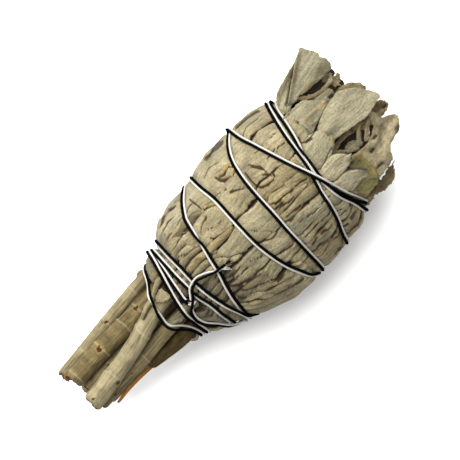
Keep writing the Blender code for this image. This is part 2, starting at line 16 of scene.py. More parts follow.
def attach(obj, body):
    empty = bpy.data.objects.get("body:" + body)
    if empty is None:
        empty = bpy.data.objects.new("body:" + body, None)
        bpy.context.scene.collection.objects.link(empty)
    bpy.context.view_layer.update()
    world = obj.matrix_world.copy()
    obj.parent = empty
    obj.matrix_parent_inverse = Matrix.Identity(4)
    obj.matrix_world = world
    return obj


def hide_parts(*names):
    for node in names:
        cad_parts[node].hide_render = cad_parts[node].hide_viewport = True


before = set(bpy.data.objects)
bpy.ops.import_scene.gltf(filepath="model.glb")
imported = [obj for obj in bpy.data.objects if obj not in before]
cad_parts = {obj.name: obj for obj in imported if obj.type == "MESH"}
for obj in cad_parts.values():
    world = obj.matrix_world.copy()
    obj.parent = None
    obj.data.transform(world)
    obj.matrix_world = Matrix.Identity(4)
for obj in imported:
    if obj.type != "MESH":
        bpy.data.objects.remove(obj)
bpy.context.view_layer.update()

MM = 0.001
UNIT = 0.3
ALONG_0 = 27.0
SHIFT = np.array([-0.233, 1.324, 0.0])
AXIS_Z = 20.2
TURN = 2 * math.pi

# The bundle's outline from above: x, then its lowest and highest y.
OUTLINE = np.array([
    (-34.0, -11.0, 12.3),
    (-27.5, -12.1, 13.0),
    (-21.9, -13.8, 14.2),
    (-15.9, -16.9, 15.4),
    (-9.9, -19.5, 19.5),
    (-3.9, -22.2, 21.2),
    (2.1, -24.0, 21.0),
    (8.1, -25.0, 22.0),
    (14.1, -25.1, 22.8),
    (20.1, -24.9, 23.0),
    (26.1, -24.1, 23.2),
    (32.1, -23.9, 22.0),
    (38.1, -21.2, 20.6),
    (44.1, -19.0, 18.5),
    (48.0, -15.0, 15.0),
    (51.0, -9.0, 9.0),
])
# The bundle's height over its width: above the axis, below it, and below it at the neck
ABOVE = 0.91
BELOW = 0.8
BELOW_NECK = 0.88
NECK_X = -10
# How far the angle runs on for places past the outline
PAST_EDGE = 1.1
LEAF_THICKNESS = 0.35

# The strands press the leaves in, deeper at the neck, where a crossing also stands less high.
STRAND_RADIUS = 0.38
STRAND_GAP = 0.02
PRESS_DEPTH = 0.95
PRESS_WIDTH = 1.15
NECK_PRESS = 1.0
NECK_END = -11.5
NECK_FADE = 3.0
NECK_STACK = 0.45
NECK_STACK_END = -13.5


def outline_at(x):
    """The lowest and highest y of the bundle at x."""
    return [np.interp(x, OUTLINE[:, 0], OUTLINE[:, column]) for column in (1, 2)]


def middle(x):
    low, high = outline_at(x)
    return (low + high) / 2


def half_width(x):
    low, high = outline_at(x)
    return (high - low) / 2


def surface_radius(x, angle):
    """From the axis to the bundle's surface. The angle runs from +Y up over the top."""
    wide = half_width(x)
    below = np.where(np.asarray(x) < NECK_X, BELOW_NECK, BELOW)
    ratio = np.where(np.sin(angle) > 0, ABOVE, below)
    return 1 / np.hypot(np.cos(angle) / wide, np.sin(angle) / (wide * ratio))


def on_bundle(x, angle, out):
    reach = surface_radius(x, angle) + out
    y = middle(x) + reach * np.cos(angle)
    return np.stack([x + 0 * reach, y, AXIS_Z + reach * np.sin(angle)], -1)


def place_of(along, across):
    """x and y of a place read off the seen side."""
    return (np.asarray(along) + ALONG_0) * UNIT, np.asarray(across) * UNIT


def seen_angle(x, y):
    """Round the bundle to the place of its seen side over (x, y), or on round its edge."""
    share = (y - middle(x)) / half_width(x)
    inside = np.clip(share, -1, 1)
    angle = np.arctan2(np.sqrt(1 - inside**2) * ABOVE, inside)
    return angle - np.maximum(share - 1, 0) * PAST_EDGE + np.maximum(-share - 1, 0) * PAST_EDGE


def wobble(points, seed):
    """Smooth noise of about -1 to 1, a bump to a unit."""
    waves = 8
    slowest, fastest = 0.35, 1.1
    draw = np.random.default_rng(seed)
    total = 0
    for _ in range(waves):
        direction = draw.normal(size=points.shape[-1])
        direction *= TURN * draw.uniform(slowest, fastest) / np.linalg.norm(direction)
        total = total + np.sin(points @ direction + draw.uniform(0, TURN))
    return total / math.sqrt(waves)


def bell(distance, width):
    """1 at no distance, falling off softly over this width."""
    return np.exp(-((distance / width) ** 2))


def ramp_up(value, start, length):
    """0 up to the start, then rising evenly to 1 over this length."""
    return np.clip((value - start) / length, 0, 1)


def smoothed(values):
    """A running mean over nine values."""
    return np.convolve(np.pad(values, 4, mode="edge"), np.ones(9) / 9, "valid")


# Thread: the string's two strands

# Each turn is a list of points down the seen side: x, y and how far each strand lies from the string's
# middle before CLOSER, above zero where the black one lies nearer the tip. Below, a turn runs on to
# where the next one starts. Turns listed later were laid earlier, so those before them pass over them.
TURNS = [
    [(-3.9, -3.7, -0.8), (-6.8, -3.0, -0.5), (-9.3, -2.0, 0.3), (-11.6, -0.9, 0.65), (-14.9, -0.1, 0.6),
     (-17.2, -0.7, 0.6), (-18.9, -2.3, 0.5), (-20.4, -3.7, 0.2), (-22.1, -5.4, -0.5), (-22.8, -7.7, -0.7),
     (-22.3, -10.6, -0.7), (-19.4, -14.2, -0.65), (-16.4, -16.9, -0.63), (-13.9, -18.4, -0.63)],
    [(-22.2, 14.5, 0.65), (-24.8, 10.7, 0.65), (-27.7, 6.0, 0.6), (-29.7, 0.3, -0.6), (-30.2, -4.6, -0.65),
     (-28.2, -8.3, -0.7), (-25.3, -12.6, -0.7)],
    [(-18.0, 14.8, -0.63), (-20.0, 9.0, -0.63), (-21.9, 3.8, -0.63), (-23.4, -1.3, -0.65),
     (-24.2, -5.6, -0.65), (-23.9, -9.0, -0.63), (-23.4, -12.9, -0.63)],
    [(-14.7, 15.8, 0.63), (-15.0, 10.0, 0.63), (-15.1, 6.0, 0.63), (-15.4, -0.5, 0.63), (-15.1, -5.0, 0.63),
     (-14.1, -11.0, 0.65), (-12.0, -16.5, 0.63), (-9.6, -19.8, 0.63)],
    [(6.3, 21.6, 0.62), (6.3, 18.0, 0.62), (6.7, 11.0, 0.62), (6.3, 6.0, 0.62), (5.9, 0.0, 0.62),
     (5.7, -6.0, 0.62), (6.3, -12.0, 0.62), (7.2, -16.5, 0.62), (8.9, -20.6, 0.62), (10.6, -23.6, 0.62),
     (11.8, -24.8, 0.62)],
    [(25.0, 22.6, -0.62), (25.7, 18.4, -0.62), (27.0, 13.5, -0.62), (28.5, 8.4, -0.62), (30.3, 2.4, -0.62),
     (31.6, -1.5, -0.62), (33.1, -6.0, -0.62), (34.2, -10.5, -0.62), (35.4, -15.0, -0.62),
     (37.0, -19.5, -0.62), (38.2, -21.4, -0.62)],
    [(40.2, 20.6, -0.62), (38.7, 16.5, -0.62), (37.7, 12.0, -0.62), (36.6, 7.5, -0.6), (35.6, 4.5, -0.45),
     (34.7, 1.5, 0.3), (34.0, -1.5, 0.55), (33.2, -5.2, 0.62), (33.0, -8.4, 0.62), (33.4, -13.5, 0.62),
     (34.8, -18.0, 0.62), (35.6, -21.8, 0.62)],
    [(38.6, 20.6, -0.62), (37.0, 16.5, -0.62), (35.8, 12.0, -0.62), (34.8, 7.5, -0.62), (34.0, 3.0, -0.62),
     (33.1, -1.5, -0.62), (31.9, -4.8, -0.62), (30.4, -9.2, -0.62), (29.2, -14.5, -0.62),
     (27.9, -18.6, -0.62), (26.3, -21.7, -0.62), (25.3, -23.8, -0.62)],
    [(24.0, 22.4, -0.62), (22.6, 21.4, -0.62), (19.9, 18.5, -0.62), (18.0, 13.5, -0.62), (16.8, 7.5, -0.62),
     (16.2, 1.5, -0.62), (15.9, -3.0, -0.62), (15.3, -9.0, -0.62), (14.8, -18.0, -0.62),
     (14.4, -24.8, -0.62)],
    [(3.4, 21.4, -0.62), (-0.7, 18.4, -0.62), (-3.6, 13.6, -0.62), (-4.9, 9.0, -0.5), (-5.9, 4.5, 0.5),
     (-7.2, 0.0, 0.62), (-7.8, -2.4, 0.62), (-9.6, -7.5, 0.62), (-10.8, -11.5, 0.62),
     (-11.5, -15.6, 0.62), (-11.8, -18.9, 0.62)],
    [(-16.8, 15.4, -0.63), (-17.3, 10.0, -0.63), (-17.7, 5.0, -0.63), (-17.8, 0.0, -0.5),
     (-17.8, -4.0, 0.5), (-17.0, -8.0, 0.63), (-16.7, -12.0, 0.63), (-16.2, -16.4, 0.63)],
    [(-17.4, 15.2, -0.63), (-18.6, 10.0, -0.63), (-19.8, 5.0, -0.63), (-20.6, 1.0, -0.63),
     (-21.2, -2.0, -0.63), (-20.6, -4.6, -0.63)],
]
CLOSER = 0.62
STRAND_STEP = 0.5
# The angles of the guide points under the bundle, and where there the strands may change sides
UNDER_DEGREES = (210, 240, 270, 300, 312, 340)
SWAP_DEGREES = 306


def string_guide():
    """The string's guide points over all its turns: x, angle and how far apart its strands lie."""
    guide = []
    for number, turn in enumerate(TURNS):
        for x, y, apart in turn:
            guide.append((x, float(seen_angle(x, y)) + TURN * number, apart))
        if number + 1 == len(TURNS):
            break
        end, start = turn[-1], TURNS[number + 1][0]
        for degrees in UNDER_DEGREES:
            share = (degrees - 180) / 180
            x = end[0] + (start[0] - end[0]) * (3 * share**2 - 2 * share**3)
            swapped = end[2] * start[2] < 0 and degrees > SWAP_DEGREES
            guide.append((x, math.radians(degrees) + TURN * number, start[2] if swapped else end[2]))
    return np.array(guide)


def strand_paths():
    """Each strand's points, a step apart, as rows of x and angle."""
    guide = string_guide()
    reach = surface_radius(guide[:, 0], guide[:, 1])
    round_bundle = np.diff(guide[:, 1]) * (reach[1:] + reach[:-1]) / 2
    at = np.concatenate([[0.0], np.cumsum(np.hypot(np.diff(guide[:, 0]), round_bundle))])
    slope = np.gradient(guide, at, axis=0)
    fine = np.arange(0.0, at[-1], STRAND_STEP)
    k = np.clip(np.searchsorted(at, fine, side="right") - 1, 0, len(at) - 2)
    width = (at[k + 1] - at[k])[:, None]
    t = (fine - at[k])[:, None] / width
    line = (
        (2 * t**3 - 3 * t**2 + 1) * guide[k]
        + (t**3 - 2 * t**2 + t) * slope[k] * width
        + (3 * t**2 - 2 * t**3) * guide[k + 1]
        + (t**3 - t**2) * slope[k + 1] * width
    )
    fine_reach = surface_radius(line[:, 0], line[:, 1]) + STRAND_RADIUS
    run = np.gradient(line[:, 0])
    turn = np.gradient(line[:, 1]) * fine_reach
    length = np.hypot(run, turn)
    paths = []
    for side in (-1, 1):
        out = side * CLOSER * line[:, 2] / length
        paths.append(np.column_stack([line[:, 0] + out * turn, line[:, 1] - out * run / fine_reach]))
    return paths


def floor_under(tree, path):
    """The least reach of a strand's centre that keeps it clear of the surface, along the path."""
    far = 60
    clear = STRAND_RADIUS * 0.85
    rise = 0.05
    least = []
    for x, angle in path:
        ray = Vector((0.0, math.cos(angle), math.sin(angle)))
        centre = Vector((x, float(middle(x)), AXIS_Z))
        hit = tree.ray_cast(centre + ray * far, -ray, far)[0]
        reach = (0.0 if hit is None else (hit - centre).length) + clear
        while tree.find_nearest(centre + ray * reach)[3] < clear:
            reach += rise
        least.append(reach)
    return np.array(least)


def pulled_tight(path, reach, least):
    """The reach of a strand pulled tight over what it lies on: it bridges hollows."""
    rounds = 160
    x, angle = path[:, 0], path[:, 1]
    centre = middle(x)
    for _ in range(rounds):
        points = np.column_stack([x, centre + reach * np.cos(angle), reach * np.sin(angle)])
        chord = (points[:-2] + points[2:]) / 2
        reach[1:-1] = np.maximum(least[1:-1], np.hypot(chord[:, 1] - centre[1:-1], chord[:, 2]))
    return reach


def lay_strands(tree, paths):
    """Both strands, turn after turn, each one over those laid before it."""
    own_steps = 10
    spacing = 2 * STRAND_RADIUS + STRAND_GAP
    least = [floor_under(tree, path) for path in paths]
    reach = [values.copy() for values in least]
    order = [-2 * np.floor(path[:, 1] / TURN) + strand for strand, path in enumerate(paths)]
    for number in range(-2 * len(TURNS), 2):
        strand = number % 2
        here = np.flatnonzero(order[strand] == number)
        if not len(here):
            continue
        for i in here:
            x, angle = paths[strand][i]
            for other in (0, 1):
                turned = (paths[other][:, 1] - angle + math.pi) % TURN - math.pi
                apart = np.hypot(paths[other][:, 0] - x, turned * reach[strand][i])
                near = (apart < spacing) & (order[other] < number)
                if other == strand:
                    near[max(0, i - own_steps): i + own_steps + 1] = False
                if near.any():
                    stacked = NECK_STACK if x < NECK_STACK_END else 1.0
                    over = reach[other][near] + stacked * np.sqrt(spacing**2 - apart[near] ** 2)
                    least[strand][i] = max(least[strand][i], over.max())
        window = slice(max(0, here[0] - 2), here[-1] + 3)
        laid = np.maximum(reach[strand], least[strand])[window]
        reach[strand][window] = pulled_tight(paths[strand][window], laid, least[strand][window])
    return [
        np.column_stack([
            path[:, 0],
            middle(path[:, 0]) + values * np.cos(path[:, 1]),
            AXIS_Z + values * np.sin(path[:, 1]),
        ])
        for path, values in zip(paths, reach)
    ]


PATHS = strand_paths()
PRESS_TREE = kdtree.KDTree(sum(len(path) for path in PATHS))
for number, point in enumerate(on_bundle(*np.concatenate(PATHS).T, 0.0)):
    PRESS_TREE.insert(point, number)
PRESS_TREE.balance()


def pressed_in(points):
    """How deep the string's nearest turn presses the leaves in at these points."""
    near = np.array([PRESS_TREE.find(point)[2] for point in points.reshape(-1, 3)])
    depth = PRESS_DEPTH + NECK_PRESS * np.clip((NECK_END - points[..., 0]) / NECK_FADE, 0, 1)
    return depth * bell(near, PRESS_WIDTH).reshape(points.shape[:-1])


# Meshes

# Texture places are kept in centimetres.
CM_IN_METRE = 100
MM_IN_CM = 10


class Piece:
    """One piece of the scene, gathered from parts: points, faces, texture places and named values."""

    def __init__(self, name):
        self.name = name
        self.points = []
        self.faces = []
        self.places = []
        # depth: how far a point takes the dark colour; on leaves and threads that is painted shade, on stalks
        # the darker colour of cut ends, scars and torn wood
        self.values = {"tone": [], "rim": [], "depth": []}
        self.count = 0

    def add(self, points, faces, places, **values):
        self.points.append(points)
        self.faces.extend([[i + self.count for i in face] for face in faces])
        self.places.append(places)
        for name, kept in self.values.items():
            kept.append(np.broadcast_to(values.get(name, 0.0), len(points)).astype(float))
        self.count += len(points)

    def made(self, look, slot, nodes):
        mesh = bpy.data.meshes.new(self.name)
        points = (np.concatenate(self.points) + SHIFT) * MM
        mesh.from_pydata(points.tolist(), [], self.faces)
        mesh.update()
        places = np.concatenate(self.places)
        layer = mesh.uv_layers.new(name="place")
        corners = np.zeros(len(mesh.loops), int)
        mesh.loops.foreach_get("vertex_index", corners)
        layer.data.foreach_set("uv", (places[corners] * MM * CM_IN_METRE).ravel())
        for name, kept in self.values.items():
            attribute = mesh.attributes.new(name, "FLOAT", "POINT")
            attribute.data.foreach_set("value", np.concatenate(kept))
        mesh.polygons.foreach_set("use_smooth", [True] * len(mesh.polygons))
        mesh.materials.append(look)
        obj = bpy.data.objects.new(self.name, mesh)
        bpy.context.scene.collection.objects.link(obj)
        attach(obj, "root")
        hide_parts(*nodes)


def add_sheet(piece, points, faces, places, **values):
    """A leaf: its outer face's points, which thicken inward, closed round its rim."""
    normals = np.zeros_like(points)
    corners = np.array([face[:3] for face in faces])
    first, second, third = points[corners[:, 0]], points[corners[:, 1]], points[corners[:, 2]]
    flat = np.cross(second - first, third - first)
    for column in range(3):
        np.add.at(normals, corners[:, column], flat)
    normals /= np.linalg.norm(normals, axis=1)[:, None] + 1e-12
    count = len(points)
    both = np.concatenate([points, points - normals * LEAF_THICKNESS])
    back = [[i + count for i in reversed(face)] for face in faces]
    edges = {edge for face in faces for edge in zip(face, [*face[1:], face[0]])}
    wall = [[b, a, a + count, b + count] for a, b in sorted(edges) if (b, a) not in edges]
    doubled = {name: np.tile(np.broadcast_to(value, count), 2) for name, value in values.items()}
    piece.add(both, [*faces, *back, *wall], np.tile(places, (2, 1)), **doubled)


def grid_faces(rows, columns):
    """The faces of a grid of points, given row by row."""
    return [
        [i * columns + j, (i + 1) * columns + j, (i + 1) * columns + j + 1, i * columns + j + 1]
        for i in range(rows - 1)
        for j in range(columns - 1)
    ]


def tube_faces(rows, sides):
    """The faces of a tube of points, given ring by ring."""
    faces = []
    for i in range(rows - 1):
        for j in range(sides):
            k = (j + 1) % sides
            faces.append([i * sides + j, (i + 1) * sides + j, (i + 1) * sides + k, i * sides + k])
    return faces


# Cracks between and along the seen side's leaves: their width in mm, then points along and across. A crack
# sinks and is painted dark with shade.
CRACKS = [
    (0.22, [(-75, 34), (-65, 37), (-48, 40), (-39, 42)]),
    (0.3, [(-72, 24), (-65, 22), (-54, 22), (-48, 20)]),
    (0.22, [(-75, 14), (-61, 16), (-48, 17.5)]),
    (0.28, [(-75, 8), (-61, 8.6), (-49, 6), (-41, 3), (-25, 3.5), (-10, 8)]),
    (0.22, [(-75, 2.6), (-65, 2), (-53, -1.6)]),
    (0.28, [(-35, 18), (-31, 14), (-24, 11.7), (-10, 12.4), (-2, 11.7), (7, 10), (17, 8.6), (23, 9.5)]),
    (0.25, [(-38, 27.5), (-32, 31), (-24, 33.5)]),
    (0.5, [(-25, 32.5), (-23, 34)]),
    (0.3, [(13, 32.5), (20.6, 29), (25.7, 25.7), (27.4, 22)]),
    (0.5, [(12, 33), (15, 32)]),
    (0.28, [(-5, -22), (2, -23.5), (7, -25.5), (20, -26.4)]),
    (0.3, [(29, 5), (37.6, 5.2), (51, 2), (70, 1)]),
    (0.3, [(34, -5.4), (48, -6.7), (61.5, -8.4), (73.5, -11)]),
    (0.22, [(36, -16), (51, -17.3), (66.6, -15.3), (73.5, -15)]),
    (0.32, [(32.5, -22), (44.5, -24), (61.5, -27), (77, -29)]),
    (0.26, [(82, -31), (95, -32), (112, -33)]),
    (0.26, [(90, -14), (101, -11), (112, -8)]),
    (0.25, [(-44, 0), (-36, -8), (-30, -12), (-15, -19)]),
    (0.4, [(-48, -27), (-41, -29), (-31, -28.6)]),
    (0.28, [(-56, -29), (-48, -34), (-36, -37.5), (-24, -39), (-8, -41), (3, -44), (19, -45),
            (31, -44.6), (45, -44)]),
    (0.28, [(-53, -37.5), (-44, -42.6), (-34, -49), (-25, -54), (-18, -58)]),
    (0.25, [(-58, -42), (-46, -50), (-34, -57), (-22, -62), (-8, -66)]),
    (0.25, [(-60, -48), (-48, -57), (-34, -65), (-18, -71), (0, -75)]),
    (0.6, [(-20, -60), (-16, -60), (-11, -59)]),
    (0.4, [(-23, -54), (-20, -57), (-17, -60)]),
    (0.35, [(-11, -59.5), (-4, -58.5), (2, -62), (10, -65), (20, -67), (34, -65.6),
            (51, -68), (66, -67), (79, -65), (92, -63)]),
    (0.3, [(27, -56), (44, -54.5), (61, -55), (76, -56)]),
    (0.3, [(25, -74), (44, -72.4), (58, -73), (70, -71)]),
    (0.6, [(76, -69), (80, -68.5), (84, -69.5)]),
    (0.25, [(30, -60), (48, -59.5), (66, -61), (84, -60)]),
    (0.25, [(30, -48.5), (48, -49), (66, -50.5), (84, -51)]),
    (0.22, [(30, -34), (46, -36), (62, -38), (80, -39)]),
    (0.2, [(27, -13), (40, -12.5), (52, -13.5)]),
    (0.45, [(61, 55.5), (68, 55), (75, 56), (89, 54.5)]),
    (0.28, [(51, 18.5), (61.5, 17.5), (72, 14.6), (82, 13.7)]),
    (0.3, [(95, 22), (96, 18), (99, 15), (112, 14)]),
    (0.32, [(-31, -18), (-20, -19), (-8, -20)]),
    (0.26, [(-28, -14), (-22, -17), (-16, -18)]),
    (0.26, [(-62, -18), (-55, -24), (-48, -27.5)]),
    (0.3, [(-47, -22.5), (-43, -24), (-36, -23)]),
    (0.22, [(-24, -26), (-16, -30), (-10, -33)]),
    (0.2, [(-55, 66), (-46, 67), (-38, 64)]),
    (0.2, [(-34, 68), (-26, 66), (-20, 69)]),
    (0.22, [(-62, 56), (-52, 58), (-44, 57)]),
    (0.22, [(4, 64), (14, 66), (26, 63)]),
    (0.22, [(58, 66), (70, 67), (84, 64)]),
    (0.22, [(60, 30), (72, 32), (84, 29)]),
    (0.28, [(34, 19), (38.5, 13.7), (44.5, 12), (54, 14.6)]),
    (0.2, [(44.5, 37.6), (51, 29), (51, 22)]),
    (0.25, [(-60, 61), (-53, 64), (-36, 65)]),
    (0.3, [(18, 76), (32, 77.5), (46, 76.5)]),
    (0.3, [(60, 76.5), (76, 75), (92, 71)]),
    (0.22, [(-66, 46), (-52, 49), (-40, 52), (-24, 54)]),
    (0.2, [(-62, -12), (-50, -14), (-38, -18)]),
    (0.2, [(-62, -19), (-50, -21), (-38, -24)]),
    (0.2, [(-30, 24), (-22, 20), (-12, 21)]),
    (0.2, [(-4, 44), (6, 40), (12, 38)]),
    (0.18, [(-2, -6), (6, -14), (12, -22)]),
    (0.18, [(56, 44), (70, 40), (84, 42)]),
]

# Torn, curled edges on the seen side's leaves, given like the cracks. Just below each lies a painted shadow.
TEARS = [
    (0.42, [(12, 56), (13.5, 51), (16, 48.5), (20, 47), (26, 46), (31, 48)]),
    (0.36, [(16, 54), (20, 52.5), (24, 54.5), (29, 54), (31, 51)]),
    (0.4, [(36, 38), (35, 30), (34, 22), (37, 16), (43, 13)]),
    (0.42, [(44, 15), (49, 14), (53, 16), (55, 20)]),
    (0.34, [(47, 24), (50, 22), (52, 18)]),
    (0.36, [(45, 36), (48, 32), (51, 27)]),
    (0.34, [(31, -1), (38, -3), (46, -4)]),
    (0.36, [(33, -11), (38, -9), (43, -11)]),
    (0.36, [(32, -25), (40, -25.5), (50, -26)]),
    (0.34, [(30, 4), (36, 6), (44, 5.5), (54, 3)]),
    (0.38, [(-42, -9), (-36, -13), (-31, -17)]),
    (0.4, [(-21, 60), (-20.5, 52), (-19.5, 44.5), (-16, 41), (-9, 39)]),
    (0.3, [(-70, 29), (-65, 27), (-60, 24)]),
    (0.32, [(97, 25), (96, 20), (99, 15.5), (106, 14)]),
    (0.5, [(19, 75), (30, 77), (44, 76)]),
    (0.45, [(62, 75.5), (76, 74), (90, 70)]),
    (0.45, [(46, -81), (60, -79.5), (76, -78)]),
    (0.45, [(82, -74), (92, -70)]),
    (0.4, [(-38, -76), (-26, -79), (-14, -80)]),
    (0.36, [(-62, 62), (-50, 65.5), (-40, 66)]),
]


def from_line(x, y, line):
    """How far these places are from a line of points read off the seen side."""
    line_x, line_y = place_of(*np.array(line, float).T)
    least = np.full(np.shape(x), 1e9)
    for x1, y1, x2, y2 in zip(line_x, line_y, line_x[1:], line_y[1:]):
        run_x, run_y = x2 - x1, y2 - y1
        share = np.clip(((x - x1) * run_x + (y - y1) * run_y) / (run_x**2 + run_y**2), 0, 1)
        least = np.minimum(least, np.hypot(x - x1 - share * run_x, y - y1 - share * run_y))
    return least


def near_lines(lines, x, angle, shift=0.0):
    """How close a place on the bundle is to the seen side's lines, 0 to 1. They wander and swell."""
    wander, swell = 0.2, 0.4
    reach = surface_radius(x, angle)
    y = middle(x) + reach * np.cos(angle) + shift
    bent = np.stack([x / 5, y / 5], -1)
    aside = wander * wobble(bent, 71)
    width = 1 + swell * wobble(bent * 1.3, 72)
    deep = np.zeros(np.shape(x))
    for size, line in lines:
        deep = np.maximum(deep, bell(from_line(x, y + aside, line), 0.8 * size * width))
    return deep * (np.sin(angle) > 0)


def tip_share(u, start, power):
    """1 up to this share of a leaf's length, then rounding off to its end."""
    end = ramp_up(u, start, 1 - start)
    return np.maximum(1 - end**power, 0.0) ** (1 / power)


def creased(points, seed):
    """Sharp creases: 1 along thin lines and 0 off them."""
    return bell(wobble(points, seed), 0.26)


# A leaf on the bundle: the reach that turns its angles into widths, how far its ends sink, how wide its
# edges' slope, coloured rim and shadow are, how deep cracks and how high tears are, and its crumples
LEAF_REACH = 20
ENDS_SINK = 1.2
EDGE_SLOPE = 0.24
RIM_WIDTH = 0.35
EDGE_SHADOW = 0.2
CRACK_DEPTH = 0.5
TEAR_HEIGHT = 0.4
TEAR_SHADOW_SHIFT = 0.5
CRUMPLE = 0.15


def add_strip(piece, x, low, high, out, seed, tone=0.5, cup=0.12, edge=0.7, tilt=0.0, pleats=0.05,
              tip=None, curl=0.0, root=None, creases=0.22, step=0.26, shade=0.0):
    """A leaf on the bundle between two angles at each station of x.

    Its middle rises by cup and its long edges sink by edge. From the share of its length that tip
    gives, it rounds off to a ragged end. root is the share of its width that it starts with.
    """
    draw = np.random.default_rng(seed)
    x, low, high = np.asarray(x, float), np.asarray(low, float), np.asarray(high, float)
    length = x[-1] - x[0]
    rows = max(8, int(length / (1.5 * step)))
    columns = int(np.clip(np.mean(high - low) * 18 / step, 9, 60))
    dense_at_edges = np.sin(np.linspace(-1.3, 1.3, columns)) / np.sin(1.3)
    u, v = np.meshgrid(np.linspace(0, 1, rows), dense_at_edges, indexing="ij")
    at = np.linspace(0, 1, len(x))
    even = np.linspace(0, 1, 60)

    def along(values):
        return np.interp(u, even, smoothed(np.interp(even, at, values)))

    place_x = x[0] + length * u
    lows, highs = np.interp(place_x, x, low), np.interp(place_x, x, high)
    lows, highs = (lows + along(low)) / 2, (highs + along(high)) / 2
    centre, half = (lows + highs) / 2, (highs - lows) / 2
    if tip is not None:
        torn = 0.06 * wobble(np.stack([v * 1.6 + seed, 0 * u], -1), seed + 7) * (1 - v**2)
        torn = torn + 0.05 * wobble(np.stack([v * 5.5 + seed, 0 * u], -1), seed + 12)
        place_x = place_x + torn * length * ramp_up(u, 0.7, 0.3)
        half = half * (0.3 + 0.7 * tip_share(u, tip, 3.4))
    if root is not None:
        half = half * (root + (1 - root) * np.clip(u / 0.45, 0, 1) ** 0.8)
    line = np.stack([place_x / 7, 0 * u + seed % 97], -1)
    jagged_line = np.stack([place_x / 1.5, 3 * np.sign(v)], -1)
    jagged = 0.010 * wobble(jagged_line, seed + 6) * np.abs(v) ** 8
    angle = centre + half * v * (1 + 0.07 * wobble(line, seed + 1)) + 0.012 * wobble(line, seed + 2) + jagged

    flat = np.stack([place_x / 9, angle * 2.2 + seed], -1)
    inset = (1 - np.abs(v)) * half * LEAF_REACH
    lift = out + tilt * v + cup * (1 - v**2) - edge * bell(inset, EDGE_SLOPE)
    lift = lift + CRUMPLE * wobble(flat, seed + 3) + 0.12 * CRUMPLE * wobble(flat * 3.4, seed + 4)
    warp = 0.25 * wobble(flat * 1.7, seed + 8)
    crease = creased(np.stack([place_x / 13, angle * 6.5 + warp + seed], -1), seed + 9)
    crease = crease * np.clip(0.25 + 0.9 * wobble(flat * 1.3, seed + 10), 0, 1)
    crack = near_lines(CRACKS, place_x, angle)
    tear = near_lines(TEARS, place_x, angle)
    # Just below each tear lies a crack that sinks and is painted dark as the torn lip's shadow
    crack = np.maximum(crack, 0.85 * near_lines(TEARS, place_x, angle, TEAR_SHADOW_SHIFT))
    lift = lift - creases * crease - CRACK_DEPTH * crack + TEAR_HEIGHT * tear
    across = half * v * LEAF_REACH
    lift = lift + pleats * np.sin(across * draw.uniform(2.0, 3.2) + 1.2 * wobble(line, seed + 5) + seed)
    lift = lift - ENDS_SINK * np.clip(1 - u / 0.07, 0, 1) ** 2
    if tip is None:
        lift = lift - ENDS_SINK * ramp_up(u, 0.93, 0.07) ** 2
    lift = lift + curl * ramp_up(u, 0.8, 0.2) ** 2
    base = on_bundle(place_x, angle, lift)
    points = on_bundle(place_x, angle, lift - pressed_in(base))

    rim = bell(inset, RIM_WIDTH)
    if tip is not None:
        rim = np.maximum(rim, bell((1 - u) * length, 0.6))
    rim = np.maximum(rim, np.clip(3.0 * crack, 0, 1))
    rim = np.maximum(rim, 1.3 * tear)
    # Painted shade: darker in creases and cracks, where the leaf's edges sink, below torn lips, and by the
    # leaf's shade value
    dark = shade + 1.4 * creases * crease + 0.9 * bell(inset, EDGE_SHADOW) + 1.2 * crack**1.5
    places = np.stack([place_x + seed * 13.7, across + seed * 7.3], -1)
    add_sheet(piece, points.reshape(-1, 3), grid_faces(rows, columns), places.reshape(-1, 2),
              tone=tone, rim=rim.ravel(), depth=np.clip(dark, 0, 1).ravel())


def add_seen(piece, stations, out, seed, **options):
    """A leaf of the seen side from its stations: along, then its lowest and highest across."""
    table = np.array(stations, float)
    x, low_y = place_of(table[:, 0], table[:, 1])
    high_y = table[:, 2] * UNIT
    # Angles fall as y rises, so the higher edge has the lower angle.
    add_strip(piece, x, seen_angle(x, high_y), seen_angle(x, low_y), out, seed, **options)


def smooth_loop(corners, seed, ragged):
    """A closed curve through these corners."""
    steps = 6
    corners = np.array(corners, float)
    points = []
    for k in range(len(corners)):
        a, b, c, d = (corners[(k + j) % len(corners)] for j in (-1, 0, 1, 2))
        for t in np.linspace(0, 1, steps, endpoint=False):
            bend = (2 * a - 5 * b + 4 * c - d) * t**2
            twist = (3 * b - a - 3 * c + d) * t**3
            points.append(0.5 * (2 * b + (c - a) * t + bend + twist))
    points = np.array(points)
    return points + ragged * np.stack([wobble(points / 1.1, seed), wobble(points / 1.1, seed + 1)], -1)


def inside_loop(loop, points):
    """Which of these points lie inside the closed curve."""
    x, y = points[:, 0], points[:, 1]
    inside = np.zeros(len(points), bool)
    for (x1, y1), (x2, y2) in zip(loop, np.roll(loop, -1, axis=0)):
        crosses = (y1 > y) != (y2 > y)
        inside ^= crosses & (x < (x2 - x1) * (y - y1) / (y2 - y1 + 1e-12) + x1)
    return inside


def from_loop(loop, points):
    """How far each of these points is from the closed curve's points."""
    return np.min(np.linalg.norm(points[:, None] - loop[None], axis=2), axis=1)


PATCH_SPACING = 0.5
PATCH_PLEATS = 0.03


